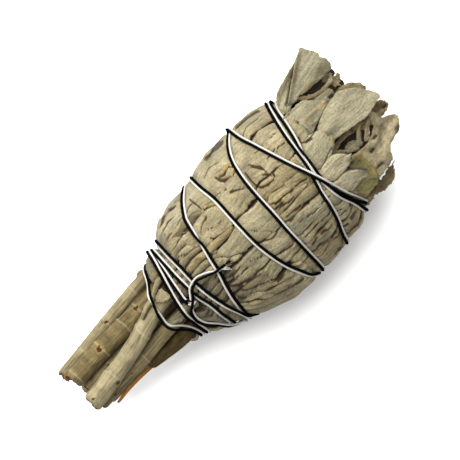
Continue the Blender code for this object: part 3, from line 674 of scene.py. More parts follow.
def add_patch(piece, corners, root, tip, seed, tone=0.5, bow=0.0, cup=0.0, crumple=0.25, creases=0.3,
              ragged=0.12, folds=(), shade=0.0):
    """A free leaf, drawn by its outline as seen from above. root and tip: along, across, height.

    Each fold is its width, its rise and its line of points. A narrow one that sinks is painted dark with
    shade, and a narrow one that rises has the colour of a rim.
    """
    outline = smooth_loop([place_of(*corner) for corner in corners], seed, ragged)
    low, high = outline.min(0), outline.max(0)
    draw = np.random.default_rng(seed)
    stations = [np.arange(low[column], high[column], PATCH_SPACING) for column in (0, 1)]
    grid = np.stack(np.meshgrid(*stations), -1)
    grid = grid.reshape(-1, 2) + draw.uniform(-0.18, 0.18, (grid.size // 2, 2))
    grid = grid[inside_loop(outline, grid) & (from_loop(outline, grid) > PATCH_SPACING * 0.45)]
    flat = np.concatenate([outline, grid])
    ring = list(range(len(outline)))
    edges = list(zip(ring, [*ring[1:], 0]))
    found = geometry.delaunay_2d_cdt([Vector(p) for p in flat], edges, [], 1, 1e-5)
    flat = np.array([tuple(p) for p in found[0]])
    faces = [list(face) for face in found[2]]

    root_x, root_y = place_of(root[0], root[1])
    tip_x, tip_y = place_of(tip[0], tip[1])
    along = np.array([tip_x - root_x, tip_y - root_y])
    length = np.linalg.norm(along)
    along /= length
    side = np.array([-along[1], along[0]])
    away = flat - [root_x, root_y]
    t = away @ along / length
    s = away @ side
    share = s / max(np.abs(s).max(), 1.0)
    height = root[2] + (tip[2] - root[2]) * t + bow * np.sin(math.pi * np.clip(t, 0, 1))
    height = height + cup * (share**2 - 0.3)
    place = np.stack([t * length, s], -1)
    height = height + crumple * wobble(place / 6, seed + 3) + 0.35 * crumple * wobble(place / 1.8, seed + 4)
    height = height + PATCH_PLEATS * np.sin(s * 2.4 + wobble(place / 5, seed + 5))
    warp = 0.25 * wobble(place / 6, seed + 6)
    crease = creased(np.column_stack([place[:, 0] / 12, place[:, 1] / 3.5 + warp]), seed + 7)
    crease = crease * np.clip(0.9 * wobble(place / 7, seed + 8), 0, 1)
    height = height - creases * crease

    # Painted shade in the creases and along narrow folds that sink
    deep = 0.6 * crease * min(creases / 0.3, 1.0)
    folded = 0 * crease
    for size, rise, line in folds:
        ridge = bell(from_line(flat[:, 0], flat[:, 1], line), size)
        height = height + rise * ridge
        deep = np.maximum(deep, 1.2 * ridge * min(max(-rise / 0.8, 0), 1) * (size < 0.6))
        folded = np.maximum(folded, ridge * (rise > 0) * (size < 0.9))
    points = np.column_stack([flat, AXIS_Z + height])
    rim = np.maximum(0.7 * np.clip(1 - from_loop(outline, flat) / 0.5, 0, 1), folded)
    dark = np.clip(deep + shade, 0, 1)
    add_sheet(piece, points, faces, place + seed * 11.3, tone=tone, rim=rim, depth=dark)


def add_free(piece, root, tip, half, facing, seed, tone, cup, bow, curl):
    """A leaf that stands out of the tip, cupped across, bowed along and curled at its end."""
    rows, columns = 22, 11
    root, tip, facing = np.array(root, float), np.array(tip, float), np.array(facing, float)
    along = tip - root
    length = np.linalg.norm(along)
    side = np.cross(along, facing)
    side /= np.linalg.norm(side)
    face = np.cross(side, along / length)
    u, v = np.meshgrid(np.linspace(0, 1, rows), np.linspace(-1, 1, columns), indexing="ij")
    width = half * np.where(u < 0.5, 0.35 + 0.65 * np.sin(math.pi * u) ** 1.2, tip_share(u, 0.5, 2.0))
    across = np.maximum(width, 0.25) * v * (1 + 0.08 * wobble(np.stack([u * 4, v * 0 + seed], -1), seed))
    place = np.stack([u * length, across], -1)
    lift = cup * half * (v**2 - 0.4) + bow * np.sin(math.pi * u) + curl * u**3
    lift = lift + 0.3 * wobble(place / 6, seed + 1) + 0.08 * wobble(place / 1.8, seed + 2)
    points = root + along * u[..., None] + side * across[..., None] + face * lift[..., None]
    rim = np.clip(np.abs(v) ** 6 + (u > 0.93), 0, 1)
    faces = [face[::-1] for face in grid_faces(rows, columns)]
    add_sheet(piece, points.reshape(-1, 3), faces, (place + seed * 11.3).reshape(-1, 2),
              tone=tone, rim=rim.ravel(), depth=0.0)


# Leaves

# The seen side's leaves: their stations along, from low to high across, how far they stand out, their
# tone and more. Tone runs from pale -1 and green-grey 0 to tan 1 and olive 2.
SEEN_LEAVES = [
    # Upper edge, from the neck to the tip
    ([(-78, 40, 54), (-64, 44, 68), (-45, 45, 84), (-25, 44, 88), (-4, 47, 90), (8, 54, 92)], 0.15, 0.3,
     {"edge": 0.35, "creases": 0.1}),
    ([(-8, 58, 84), (8, 58, 92), (25, 57, 96), (42, 57, 98), (58, 57, 98)], 0.1, 0.45, {"tip": 0.8}),
    ([(40, 57, 92), (60, 56, 95), (75, 56, 94), (90, 54, 90), (106, 52, 84)], 0.25, 0.55, {}),
    ([(-24, 41, 60), (-12, 42, 60), (2, 44, 59), (16, 46, 59), (30, 44, 57)], 0.0, 0.6, {"cup": 0.2}),
    # Middle
    ([(-58, 20, 36), (-46, 15, 38), (-32, 14, 39), (-10, 13, 43), (12, 12, 46), (30, 14, 44)], 0.25, 0.5,
     {"cup": 0.45}),
    ([(24, 20, 55), (40, 20, 57), (55, 19, 56), (70, 17, 56), (86, 16, 54), (100, 15, 53)], 0.3, 0.5,
     {"cup": 0.5}),
    ([(-54, -12, 1), (-40, -15, 3), (-22, -17, 4), (-8, -18, 9), (4, -21, 11), (16, -24, 11), (30, -26, 9)],
     0.25, 0.35, {"cup": 0.4}),
    ([(26, 3, 17), (40, 3, 19), (55, 2, 18), (70, 1, 17), (84, 2, 14)], 0.0, 0.75, {}),
    ([(27, -9, 3), (40, -9, 6), (55, -11, 3), (70, -13, 2), (80, -13, 1)], 0.05, 0.8, {}),
    ([(29, -17, -9), (45, -17, -9), (60, -17, -11), (78, -18, -13)], -0.05, 0.75, {}),
    ([(27, -25, -17), (40, -26, -17), (55, -28, -17), (70, -30, -17), (82, -31, -18)], 0.1, 0.7, {}),
    ([(-48, -40, -20), (-30, -38, -19), (-14, -39, -19), (0, -41, -22), (15, -43, -25), (30, -44, -27)],
     0.1, 0.3, {}),
    ([(25, -45, -26), (40, -45, -27), (55, -43, -29), (70, -46, -30), (84, -48, -31)], 0.25, 0.15,
     {"cup": 0.5}),
    ([(-50, -60, -38), (-32, -60, -40), (-14, -57, -41), (0, -54, -43), (15, -55, -44), (30, -56, -45)],
     0.0, 0.4, {"pleats": 0.16}),
    ([(26, -57, -45), (40, -56, -46), (55, -55, -44), (70, -58, -47), (88, -60, -49)], 0.05, 0.35, {}),
    ([(4, -67, -56), (25, -67, -57), (45, -70, -57), (62, -69, -56), (84, -64, -58)], -0.1, 0.45,
     {"pleats": 0.18}),
    # Lower edge
    ([(-68, -60, -42), (-52, -70, -46), (-36, -80, -52), (-20, -92, -59), (-4, -98, -60), (12, -100, -63)],
     0.15, 0.55, {"pleats": 0.24, "cup": 0.5}),
    ([(0, -82, -62), (18, -84, -67), (38, -88, -70), (60, -86, -69), (80, -80, -65), (94, -76, -61)],
     -0.25, 0.8, {"pleats": 0.16}),
    ([(8, -104, -78), (28, -106, -80), (50, -106, -82), (72, -104, -80), (92, -100, -76)], 0.1, 0.6,
     {"pleats": 0.14}),
    # Towards the tip
    ([(80, -14, 16), (92, -15, 16), (104, -13, 15), (113, -11, 14.5), (119, -7, 13)], 0.7, -0.3,
     {"tip": 0.9, "curl": 0.5}),
    ([(82, -32, -15), (95, -33, -14), (106, -32, -12), (114, -31, -15), (119, -29, -20)], 0.55, -0.6,
     {"tip": 0.86, "curl": 0.3}),
    ([(84, -50, -32), (96, -51, -32), (106, -51, -34), (114, -51, -39), (122, -52, -47)], 0.55, -0.5,
     {"tip": 0.9, "curl": 0.2}),
    ([(88, -70, -51), (100, -70, -50), (114, -69, -50), (128, -66, -54)], -0.2, 0.85, {"tip": 0.8}),
    ([(88, 16, 50), (94, 15, 50), (100, 15, 48), (107, 18, 46)], -0.6, 0.5, {"tip": 0.8}),
]
# The narrow folds and leaf stalks of the neck's seen side: their stations and tone
NECK_FOLDS = [
    ([(-108, 38, 48), (-92, 39, 49), (-76, 42, 52), (-60, 48, 60)], 0.4),
    ([(-106, 28, 38), (-90, 32, 40), (-76, 37, 45), (-60, 39, 49), (-42, 39, 49), (-22, 38, 46)], 0.8),
    ([(-100, 15, 26), (-88, 22, 33), (-76, 28, 37), (-64, 30, 38), (-48, 31, 38)], 0.5),
    ([(-72, 22, 30), (-64, 23, 31), (-56, 21, 30), (-46, 20, 27)], 0.45),
    ([(-98, 9, 16), (-86, 13, 21), (-75, 18, 25), (-60, 17, 22), (-44, 17, 21)], 0.7),
    ([(-98, 1, 9), (-86, 5, 12), (-75, 8, 16), (-60, 8, 15), (-45, 6, 14), (-30, 6, 13), (-12, 8, 13)], 0.95),
    ([(-92, -5, 2), (-80, -1, 6), (-66, 0, 7), (-52, 0, 6), (-38, 1, 6)], 0.6),
    ([(-90, -12, -5), (-78, -9, -2), (-64, -9, -1), (-50, -9, -1)], 0.55),
    ([(-88, -20, -12), (-76, -18, -10), (-64, -18, -10), (-50, -17, -9)], 0.45),
    ([(-88, -28, -20), (-75, -27, -19), (-62, -26, -18), (-48, -26, -18), (-36, -26, -20)], 0.5),
    ([(-90, -36, -28), (-76, -36, -27), (-60, -36, -27), (-45, -38, -28), (-25, -40, -32)], 0.65),
    ([(-92, -44, -36), (-78, -46, -36), (-62, -46, -37), (-45, -46, -38), (-18, -50, -42)], 0.55),
    ([(-92, -54, -44), (-78, -58, -46), (-64, -66, -47)], 0.5),
    ([(-106, -2, 8), (-100, -3, 7), (-92, -6, 5), (-84, -6, 4)], 0.5),
    ([(-108, -20, -8), (-100, -20, -9), (-90, -20, -12)], 0.4),
    ([(-104, -40, -24), (-96, -42, -26), (-84, -50, -30)], 0.35),
    ([(-76, 37, 45), (-66, 38, 49), (-54, 40, 52), (-42, 40, 51), (-32, 40, 47)], 0.75),
]
# One long leaf stalk that lies over the others
LEAF_STALK = [
    (-140, 11, 13), (-130, 14, 17.5), (-118, 18, 21.5), (-106, 22, 25.5), (-97, 25, 29), (-88, 31, 35),
    (-76, 36, 40),
]

# The leaves that stand out of the tip: outline from above, root and tip as along, across and height,
# and more. Each fold in them is its width, how far it rises, and its points. A shade value darkens a
# whole leaf towards the painted shade colour: painted shade on the leaves deep in the tip and on the
# side turned away, and a darker own colour on the rest.
TIP_LEAVES = [
    # Inner leaves, deep in the tip
    ([(100, -6), (125, -2), (150, -4), (164, -10), (166, -22), (156, -34), (125, -34), (102, -30)],
     (100, -16, 2), (166, -16, 1), {"tone": 1.0, "cup": 1.5, "shade": 0.6}),
    ([(100, 36), (130, 44), (155, 46), (168, 40), (168, 26), (150, 22), (125, 20), (102, 20)],
     (100, 30, 5), (168, 34, 4), {"tone": 1.0, "shade": 0.5}),
    ([(100, -30), (125, -28), (140, -36), (138, -56), (120, -62), (102, -58)],
     (100, -45, 3), (140, -45, 2), {"tone": 0.9}),
    # The tan tip behind, and the brown curled one
    ([(146, 24), (160, 28), (173, 24.5), (180, 16.5), (181, 10), (176, 8), (168, 12), (150, 14)],
     (146, 20, 5), (182, 12, 6), {"tone": 0.8, "cup": 0.6}),
    ([(146, -12), (160, -8), (178, -8), (184.5, -14), (182, -19), (170, -21), (160, -20), (148, -18)],
     (146, -15, 4), (184, -14, 5),
     {"tone": 0.95, "cup": 1.4, "ragged": 0.2, "folds": [(1.2, -1.5, [(165, -15), (174, -15)]),
                                                        (0.5, -0.6, [(179, -17), (182, -17.5)])]}),
    # The leaf with a midrib under the big folded one, and the rolled end beside it
    ([(93, 47), (104, 48), (116, 47.5), (127, 46.5), (133, 41), (139, 35), (145, 27), (136, 24), (122, 20),
      (112, 16.5), (98, 15), (92, 20)], (92, 31, 14.2), (145, 27, 11.5),
     {"tone": -0.15, "bow": 0.9, "cup": -1.0, "folds": [(0.9, -0.7, [(102, 33), (122, 34), (140, 31)]),
                                                       (0.6, 0.6, [(104, 31), (124, 31), (142, 28)])]}),
    ([(128, 41), (136, 39), (146, 38.5), (153, 37), (155.5, 33), (154, 28.5), (146, 26), (134, 26)],
     (126, 34, 8.8), (155, 32, 9.2),
     {"tone": 0.1, "cup": -1.2, "folds": [(0.5, -1.2, [(149, 28.5), (152, 28.5)])]}),
    # The rolled rim and its ragged end
    ([(124, 52), (131, 49), (137, 44.5), (147, 41), (158, 41), (166, 44), (165, 39.5), (156, 36.5), (146, 37),
      (136, 40), (129, 45)], (122, 50, 9.2), (164, 42, 8.6),
     {"tone": 0.35, "cup": -0.5, "folds": [(0.8, 0.8, [(128, 48), (136, 42), (148, 38.5), (160, 39)])]}),
    ([(132, 50), (150, 49), (168, 48), (170, 42), (158, 41.5), (146, 42), (137, 45)],
     (130, 47, 6.0), (168, 45, 6.0), {"tone": 1.0, "cup": 0.6, "shade": 0.6}),
    ([(156, 46), (166, 47), (168, 41), (174, 39), (171, 34), (164, 30), (160, 33), (157, 39)],
     (154, 42, 6.6), (174, 38, 6.4), {"tone": 0.7, "ragged": 0.35, "cup": 0.8}),
    # The big folded leaf: the side turned away, then its broad face
    ([(102, 50), (106, 60), (112, 67), (120, 71), (134, 74), (147, 77.5), (158, 81), (150, 74), (134, 62),
      (120, 52), (108, 47)], (100, 56, 9.0), (156, 78, 9.6),
     {"tone": 0.2, "bow": 0.6, "cup": 0.5, "shade": 0.13,
      "folds": [(1.2, -1.0, [(110, 60), (126, 66), (142, 73)]),
                (0.4, -0.4, [(113, 54.5), (124, 61.5), (138, 70), (150, 77)])]}),
    ([(113, 53), (119, 56.5), (133, 66), (147, 76), (158, 81.5), (164, 84), (168, 77), (172.5, 68),
      (171.5, 63), (174.5, 57), (172, 48.5), (165, 47), (150, 48), (138, 49), (130, 52), (122, 50)],
     (110, 53, 10.8), (174, 66, 11.5),
     {"tone": 0.0, "bow": 1.2, "cup": -1.6, "crumple": 0.3, "creases": 0.05, "shade": 0.17,
      "folds": [(0.55, 1.3, [(117, 55), (133, 65.5), (147, 75), (158, 81)]),
                (2.2, -0.9, [(128, 58), (144, 67), (158, 75)]),
                (2.0, 0.9, [(128, 54), (148, 56), (170, 60)]),
                (0.8, -0.35, [(136, 57), (152, 62), (168, 66)]),
                (0.7, 0.3, [(138, 53), (154, 53), (168, 54)])]}),
    # The large wavy leaf below, its inner face and outer lobe
    ([(112, -34), (120, -27), (131, -30), (145, -29), (157, -23), (160, -13), (166, -10), (169, -16),
      (169.5, -22), (181, -30), (180.5, -36), (176, -42), (170, -44.5), (161, -46), (153, -51), (148, -59),
      (140, -61), (126, -62.5), (116, -58), (110, -46)], (104, -44, 9.6), (180, -32, 6.4),
     {"tone": 0.55, "bow": 1.6, "cup": -1.6, "crumple": 0.45,
      "folds": [(1.6, 2.2, [(163, -11), (164, -24), (168, -34), (166, -43)]),
                (1.2, -2.0, [(150, -44), (156, -36), (166, -31), (176, -32)]),
                (1.3, 1.6, [(142, -32), (150, -36), (150, -46), (144, -56)]),
                (1.3, -1.4, [(132, -34), (138, -44), (134, -56)]),
                (0.35, -0.9, [(137, -38.5), (141, -38.5)]), (0.35, -0.9, [(148.5, -31), (152, -31.5)]),
                (0.35, -0.6, [(130, -54), (138, -54.5)])]}),
    # Narrow curled strips in the middle
    ([(112, -9), (124, -7), (140, -7.5), (150, -10.5), (154, -13), (142, -12.5), (126, -11), (112, -13)],
     (110, -9, 9.8), (152, -11, 8.6), {"tone": 0.85, "cup": 0.5, "crumple": 0.1}),
    ([(123, -17), (131, -16), (136, -20), (137, -25), (131, -28), (125, -26), (121, -22)],
     (120, -20, 9.4), (137, -24, 8.2), {"tone": 0.3, "cup": -0.8, "crumple": 0.1}),
    ([(133, -25), (138, -18), (146, -12.5), (152, -12), (146, -17), (140, -24), (138, -28)],
     (130, -26, 8.9), (152, -12, 9.4), {"tone": 0.3, "cup": -0.4, "crumple": 0.1}),
    ([(141, -27), (149, -19), (157, -14), (160, -15), (154, -21), (147, -28)],
     (140, -28, 8.6), (160, -14, 9.4), {"tone": 0.4, "cup": -0.4, "crumple": 0.1}),
    ([(107, -9), (112, -10), (120, -17), (125, -21), (122, -25), (117, -23), (111, -16)],
     (104, -8, 13.4), (124, -24, 10.6), {"tone": 0.8, "cup": -0.4}),
    # The olive leaf that stands across, and the wavy rim at the lower edge
    ([(112, -32), (120, -31), (127.5, -31), (129, -44), (127, -57), (122, -64), (114, -66), (104, -64),
      (100, -54), (112, -46)], (100, -48, 12.4), (129, -50, 10.6),
     {"tone": 2.0, "cup": 0.4, "crumple": 0.4, "shade": 0.16,
      "folds": [(0.6, 0.5, [(126, -32), (128, -46), (125, -60)])]}),
    ([(92, -64), (98, -72.5), (110, -72), (120, -74.5), (131, -74.5), (139, -71), (142, -65), (147, -62.5),
      (140, -62.5), (135, -63.5), (127, -65.5), (118, -62)], (88, -68, 5.0), (147, -66, 2.5),
     {"tone": 0.9, "cup": -0.8, "crumple": 0.6, "ragged": 0.38, "shade": 0.15}),
    # The big flat grey-green leaf on top
    ([(108, 3), (114, 12), (120, 17.5), (138, 24.5), (157, 27), (163, 24), (170, 20), (179.5, 7), (185, -3.5),
      (183.5, -7.5), (176, -9), (160, -11.5), (150, -9.8), (140, -7.5), (121, -4), (110, -2)],
     (104, 6, 14.6), (185, -2, 12.0),
     {"tone": -0.3, "bow": 0.6, "cup": -1.0, "crumple": 0.16, "creases": 0.02,
      "folds": [(2.0, 0.7, [(120, 8), (150, 16), (164, 22)]), (1.0, -0.5, [(158, 24), (170, 10), (180, -2)]),
                (0.7, -0.35, [(120, 0), (142, -3), (162, -7)]), (0.65, -0.3, [(132, 22), (139, 14)])]}),
]

# Torn pieces that lie on the seen side: outline from above, tone and how far out
SCRAPS = [
    ([(-119, 14), (-112, 20), (-106, 19), (-104, 8), (-110, 7)], 0.5, -0.6),
    ([(-126, -17), (-118, -12), (-109, -14), (-108, -22), (-114, -24)], 0.3, -2.6),
    ([(-96, 46), (-92, 51), (-86, 50), (-84, 47), (-90, 45)], 0.7, 0.3),
]


def core_piece(piece):
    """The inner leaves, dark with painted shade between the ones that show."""
    rows, sides = 70, 72
    first_x, last_x, closing_x = -24, 41, 38
    around = np.linspace(0, TURN, sides, endpoint=False)
    x, angle = np.meshgrid(np.linspace(first_x, last_x, rows), around, indexing="ij")
    flat = np.stack([x / 5, np.cos(angle) * 4, np.sin(angle) * 4], -1)
    out = -1.5 + 0.25 * wobble(flat, 5) - 5.0 * ramp_up(x, 35, 6) ** 2
    points = on_bundle(x, angle, out - 0.7 * pressed_in(on_bundle(x, angle, 0 * x))).reshape(-1, 3)
    first, last_ring = len(points), (rows - 1) * sides
    faces = tube_faces(rows, sides)
    faces += [[first, j, (j + 1) % sides] for j in range(sides)]
    faces += [[first + 1, last_ring + (j + 1) % sides, last_ring + j] for j in range(sides)]
    ends = np.array([[end_x, middle(end_x), AXIS_Z] for end_x in (first_x, closing_x)])
    points = np.concatenate([points, ends])
    places = np.column_stack([points[:, 0], np.arctan2(points[:, 1], points[:, 2] - AXIS_Z) * 18])
    # Painted shade: the whole core takes the dark shade colour, so the gaps between the leaves that show look
    # dark
    piece.add(points, faces, places, tone=1.0, rim=0.0, depth=1.0)


def seen_pieces(body, neck):
    for k, (stations, out, tone, options) in enumerate(SEEN_LEAVES):
        add_seen(body, stations, out, 100 + 7 * k, tone=tone, **options)
    for k, (stations, tone) in enumerate(NECK_FOLDS):
        # Neck folds on the lower side, turned from the light, and those far back by the tie get painted shade
        deep = stations[0][1] < -18 or stations[0][0] < -101
        add_seen(neck, stations, -0.1 + 0.2 * (k % 3), 500 + 7 * k, tone=tone, cup=0.55, edge=0.9,
                 creases=0.3, shade=0.35 if deep else 0.0)
    add_seen(neck, LEAF_STALK, 0.6, 700, tone=0.7, cup=0.5, pleats=0.02)


def unseen_leaves(under):
    """The leaves round the rest of the bundle, by rule: the neck's, then four rows towards the tip."""
    draw = random.Random(3)
    start = math.radians(183)
    room = math.radians(176)
    neck_leaves, row_leaves = 13, 7

    def edges(angle, width, shares):
        return [angle - width * share for share in shares], [angle + width * share for share in shares]

    for k in range(neck_leaves):
        angle = start + room * (k + 0.4 * draw.random()) / neck_leaves
        width = draw.uniform(0.12, 0.2)
        x = [draw.uniform(-30, -26), -20, -12, draw.uniform(-8, 2)]
        low, high = edges(angle, width, (0.7, 0.8, 1.0, 0.9))
        out = draw.uniform(-0.1, 0.3)
        add_strip(under, x, low, high, out, 900 + k, tone=draw.random(), cup=0.5, step=0.45)
    for row, (first, last) in enumerate([(-15, 10), (-2, 26), (16, 44), (28, 49)]):
        for k in range(row_leaves):
            angle = start + room * (k + 0.5 * (row % 2) + 0.3 * draw.random()) / row_leaves
            width = draw.uniform(0.22, 0.34)
            x = [first + draw.uniform(-3, 3), (first + last) / 2, last + draw.uniform(-3, 3)]
            low, high = edges(angle, width, (0.8, 1.0, 0.8))
            add_strip(
                under, x, low, high, -0.1 + 0.2 * row * 0.5 + draw.uniform(-0.1, 0.1), 1000 + 10 * row + k,
                tone=draw.random() * 0.8, tip=0.72, tilt=draw.choice((-0.4, 0.4)), root=0.4,
                pleats=draw.uniform(0.04, 0.12), curl=draw.uniform(0, 0.6), step=0.45,
            )


def tip_pieces(piece):
    """The tip's seen leaves, then rings of leaves inside it: radius, how many and share of length."""
    for k, (corners, root, tip, options) in enumerate(TIP_LEAVES):
        add_patch(piece, corners, root, tip, 2000 + 7 * k, **options)
    root_x, axis_y = 38, -0.6
    draw = random.Random(5)
    for ring, count, length in ((16.0, 11, 1.0), (12.5, 9, 0.9), (8.0, 6, 0.8), (4.0, 3, 0.75)):
        for k in range(count):
            angle = TURN * (k + 0.5 * draw.random()) / count
            upper = math.sin(angle) > 0.1
            if upper and ring > 9:
                continue
            out = np.array([0, math.cos(angle), math.sin(angle)])
            root = np.array([root_x, axis_y, AXIS_Z]) + out * ring * [1, 1, 0.85]
            reach = draw.uniform(48, 57) * length - (3 if upper else 0)
            spread = ring * 0.8 + draw.uniform(-2.0, 1.0)
            tip = np.array([reach, axis_y, AXIS_Z]) + out * spread * [1, 1, 0.9]
            add_free(
                piece, root, tip, draw.uniform(3.4, 5.4), out, 3000 + 31 * k + int(ring), tone=draw.random(),
                cup=draw.uniform(-0.45, 0.45), bow=draw.uniform(0.2, 1.4), curl=draw.uniform(-1.6, 1.2),
            )


def scrap_pieces(piece):
    """Torn pieces, draped on the seen side."""
    for k, (corners, tone, out) in enumerate(SCRAPS):
        kept = Piece("scrap")
        root, tip = (*corners[0], 0.0), (*corners[3], 0.0)
        add_patch(kept, corners, root, tip, 4000 + k, tone=tone, ragged=0.25, crumple=0.1)
        points = kept.points[0]
        x, y, lift = points[:, 0], points[:, 1], points[:, 2] - AXIS_Z
        draped = on_bundle(x, seen_angle(x, y), out + lift + 0.2)
        piece.add(draped, kept.faces, kept.places[0], tone=tone, rim=kept.values["rim"][0], depth=0.0)


# Stalks

# Each stalk: stations of x, y, height over the axis and radius; rings of x and slant; scars of x,
# angle and size; tone from grey-beige 0 to olive-brown 1.
STALKS = [
    ([(-63.0, -3.0, 4.5, 3.15), (-57.9, -2.7, 4.5, 3.15), (-51.9, -2.0, 4.6, 3.0), (-45.9, -1.2, 5.2, 2.9),
      (-39.9, -0.15, 6.0, 2.9), (-33.9, 1.5, 7.0, 2.8), (-29.4, 2.7, 7.0, 2.8), (-24.0, 3.2, 7.0, 2.7),
      (-14.0, 3.2, 6.8, 2.6)],
     [(-53.2, 1.0), (-36.8, -0.5)], [(-52.9, 2.55, 0.9), (-61.5, 1.4, 0.4)], 0.0),
    ([(-61.8, 5.8, 1.0, 3.05), (-51.9, 5.85, 1.1, 3.05), (-39.9, 5.9, 1.5, 3.0), (-27.9, 5.85, 1.3, 3.0),
      (-14.0, 5.7, 1.1, 2.9)],
     [(-60.4, 0.3), (-49.0, 0.2), (-39.4, 0.3), (-32.8, 0.2)], [(-49.6, 1.35, 1.0), (-33.1, 1.1, 0.9)], 0.75),
    ([(-63.0, 9.3, -1.6, 1.6), (-56.0, 9.6, -1.2, 1.7), (-45.9, 10.3, -0.4, 1.85), (-39.9, 10.6, 0.0, 1.9),
      (-33.0, 11.1, 0.4, 2.0), (-27.9, 11.4, 0.5, 2.0), (-22.0, 11.5, 0.6, 2.0), (-14.0, 11.6, 0.6, 1.9)],
     [(-53.5, 0.2), (-42.5, 0.2), (-30.0, 0.2)], [(-42.3, 1.45, 0.7), (-53.4, 0.7, 0.4)], 0.3),
    ([(-61.2, -4.9, -0.9, 2.3), (-51.9, -4.8, -0.6, 2.4), (-45.9, -4.9, 0.1, 2.3), (-41.4, -4.8, 0.8, 2.25),
      (-33.0, -4.2, 2.0, 2.3), (-25.0, -4.2, 2.3, 2.2), (-14.0, -4.2, 2.3, 2.0)],
     [(-42.0, 0.0)], [(-48.0, 1.9, 0.35), (-56.0, 2.3, 0.5)], 0.45),
    ([(-42.3, -8.1, -0.6, 1.3), (-39.3, -8.4, -0.6, 1.6), (-35.4, -8.6, -0.6, 2.0), (-30.9, -8.8, -0.6, 2.45),
      (-26.0, -9.0, -0.6, 2.6), (-14.0, -9.0, -0.6, 2.5)],
     [], [], 1.0),
    ([(-60.6, 0.9, -2.6, 2.3), (-45.0, 0.9, -2.4, 2.3), (-27.9, 0.6, -2.1, 2.2), (-14.0, 0.6, -2.1, 2.2)],
     [(-51.0, 0.2)], [(-51.2, 1.4, 0.6)], 0.6),
    ([(-60.2, 6.2, -5.7, 2.5), (-45.0, 6.5, -5.4, 2.6), (-27.9, 7.0, -5.2, 2.5), (-14.0, 7.0, -5.2, 2.4)],
     [(-47.0, 0.4), (-34.0, 0.2)], [(-47.0, 4.5, 0.8)], 0.5),
    ([(-61.9, 0.2, -8.3, 2.7), (-40.0, 0.5, -8.0, 2.8), (-27.9, 0.8, -7.8, 2.7), (-14.0, 0.8, -7.7, 2.6)],
     [(-52.0, 0.4), (-37.5, 0.3)], [(-52.0, 4.9, 0.8)], 0.2),
    ([(-58.3, -5.4, -6.4, 2.5), (-40.0, -5.2, -6.2, 2.75), (-27.9, -5.2, -6.0, 2.6),
      (-14.0, -5.6, -6.0, 2.4)],
     [(-44.0, 0.3)], [(-44.2, 4.2, 0.8)], 0.65),
]
TWIG = [
    (-57.0, -8.6, 0.3, 0.42), (-55.5, -8.3, 0.2, 0.5), (-51.9, -8.05, 0.0, 0.5), (-47.4, -8.1, -0.6, 0.5),
    (-42.9, -8.4, -2.8, 0.5), (-36.0, -9.4, -4.4, 0.5), (-28.0, -9.9, -4.6, 0.5), (-20.0, -9.6, -4.6, 0.5),
]
SIDES = 40
STALK_STEP = 0.35
# The cut end's rings that close in on its hollow pith: share of the stalk's radius, how far in, and dark
CUT_RINGS = ((0.8, -0.05, 0.75), (0.5, 0.12, 0.35), (0.22, 0.3, 0.6))


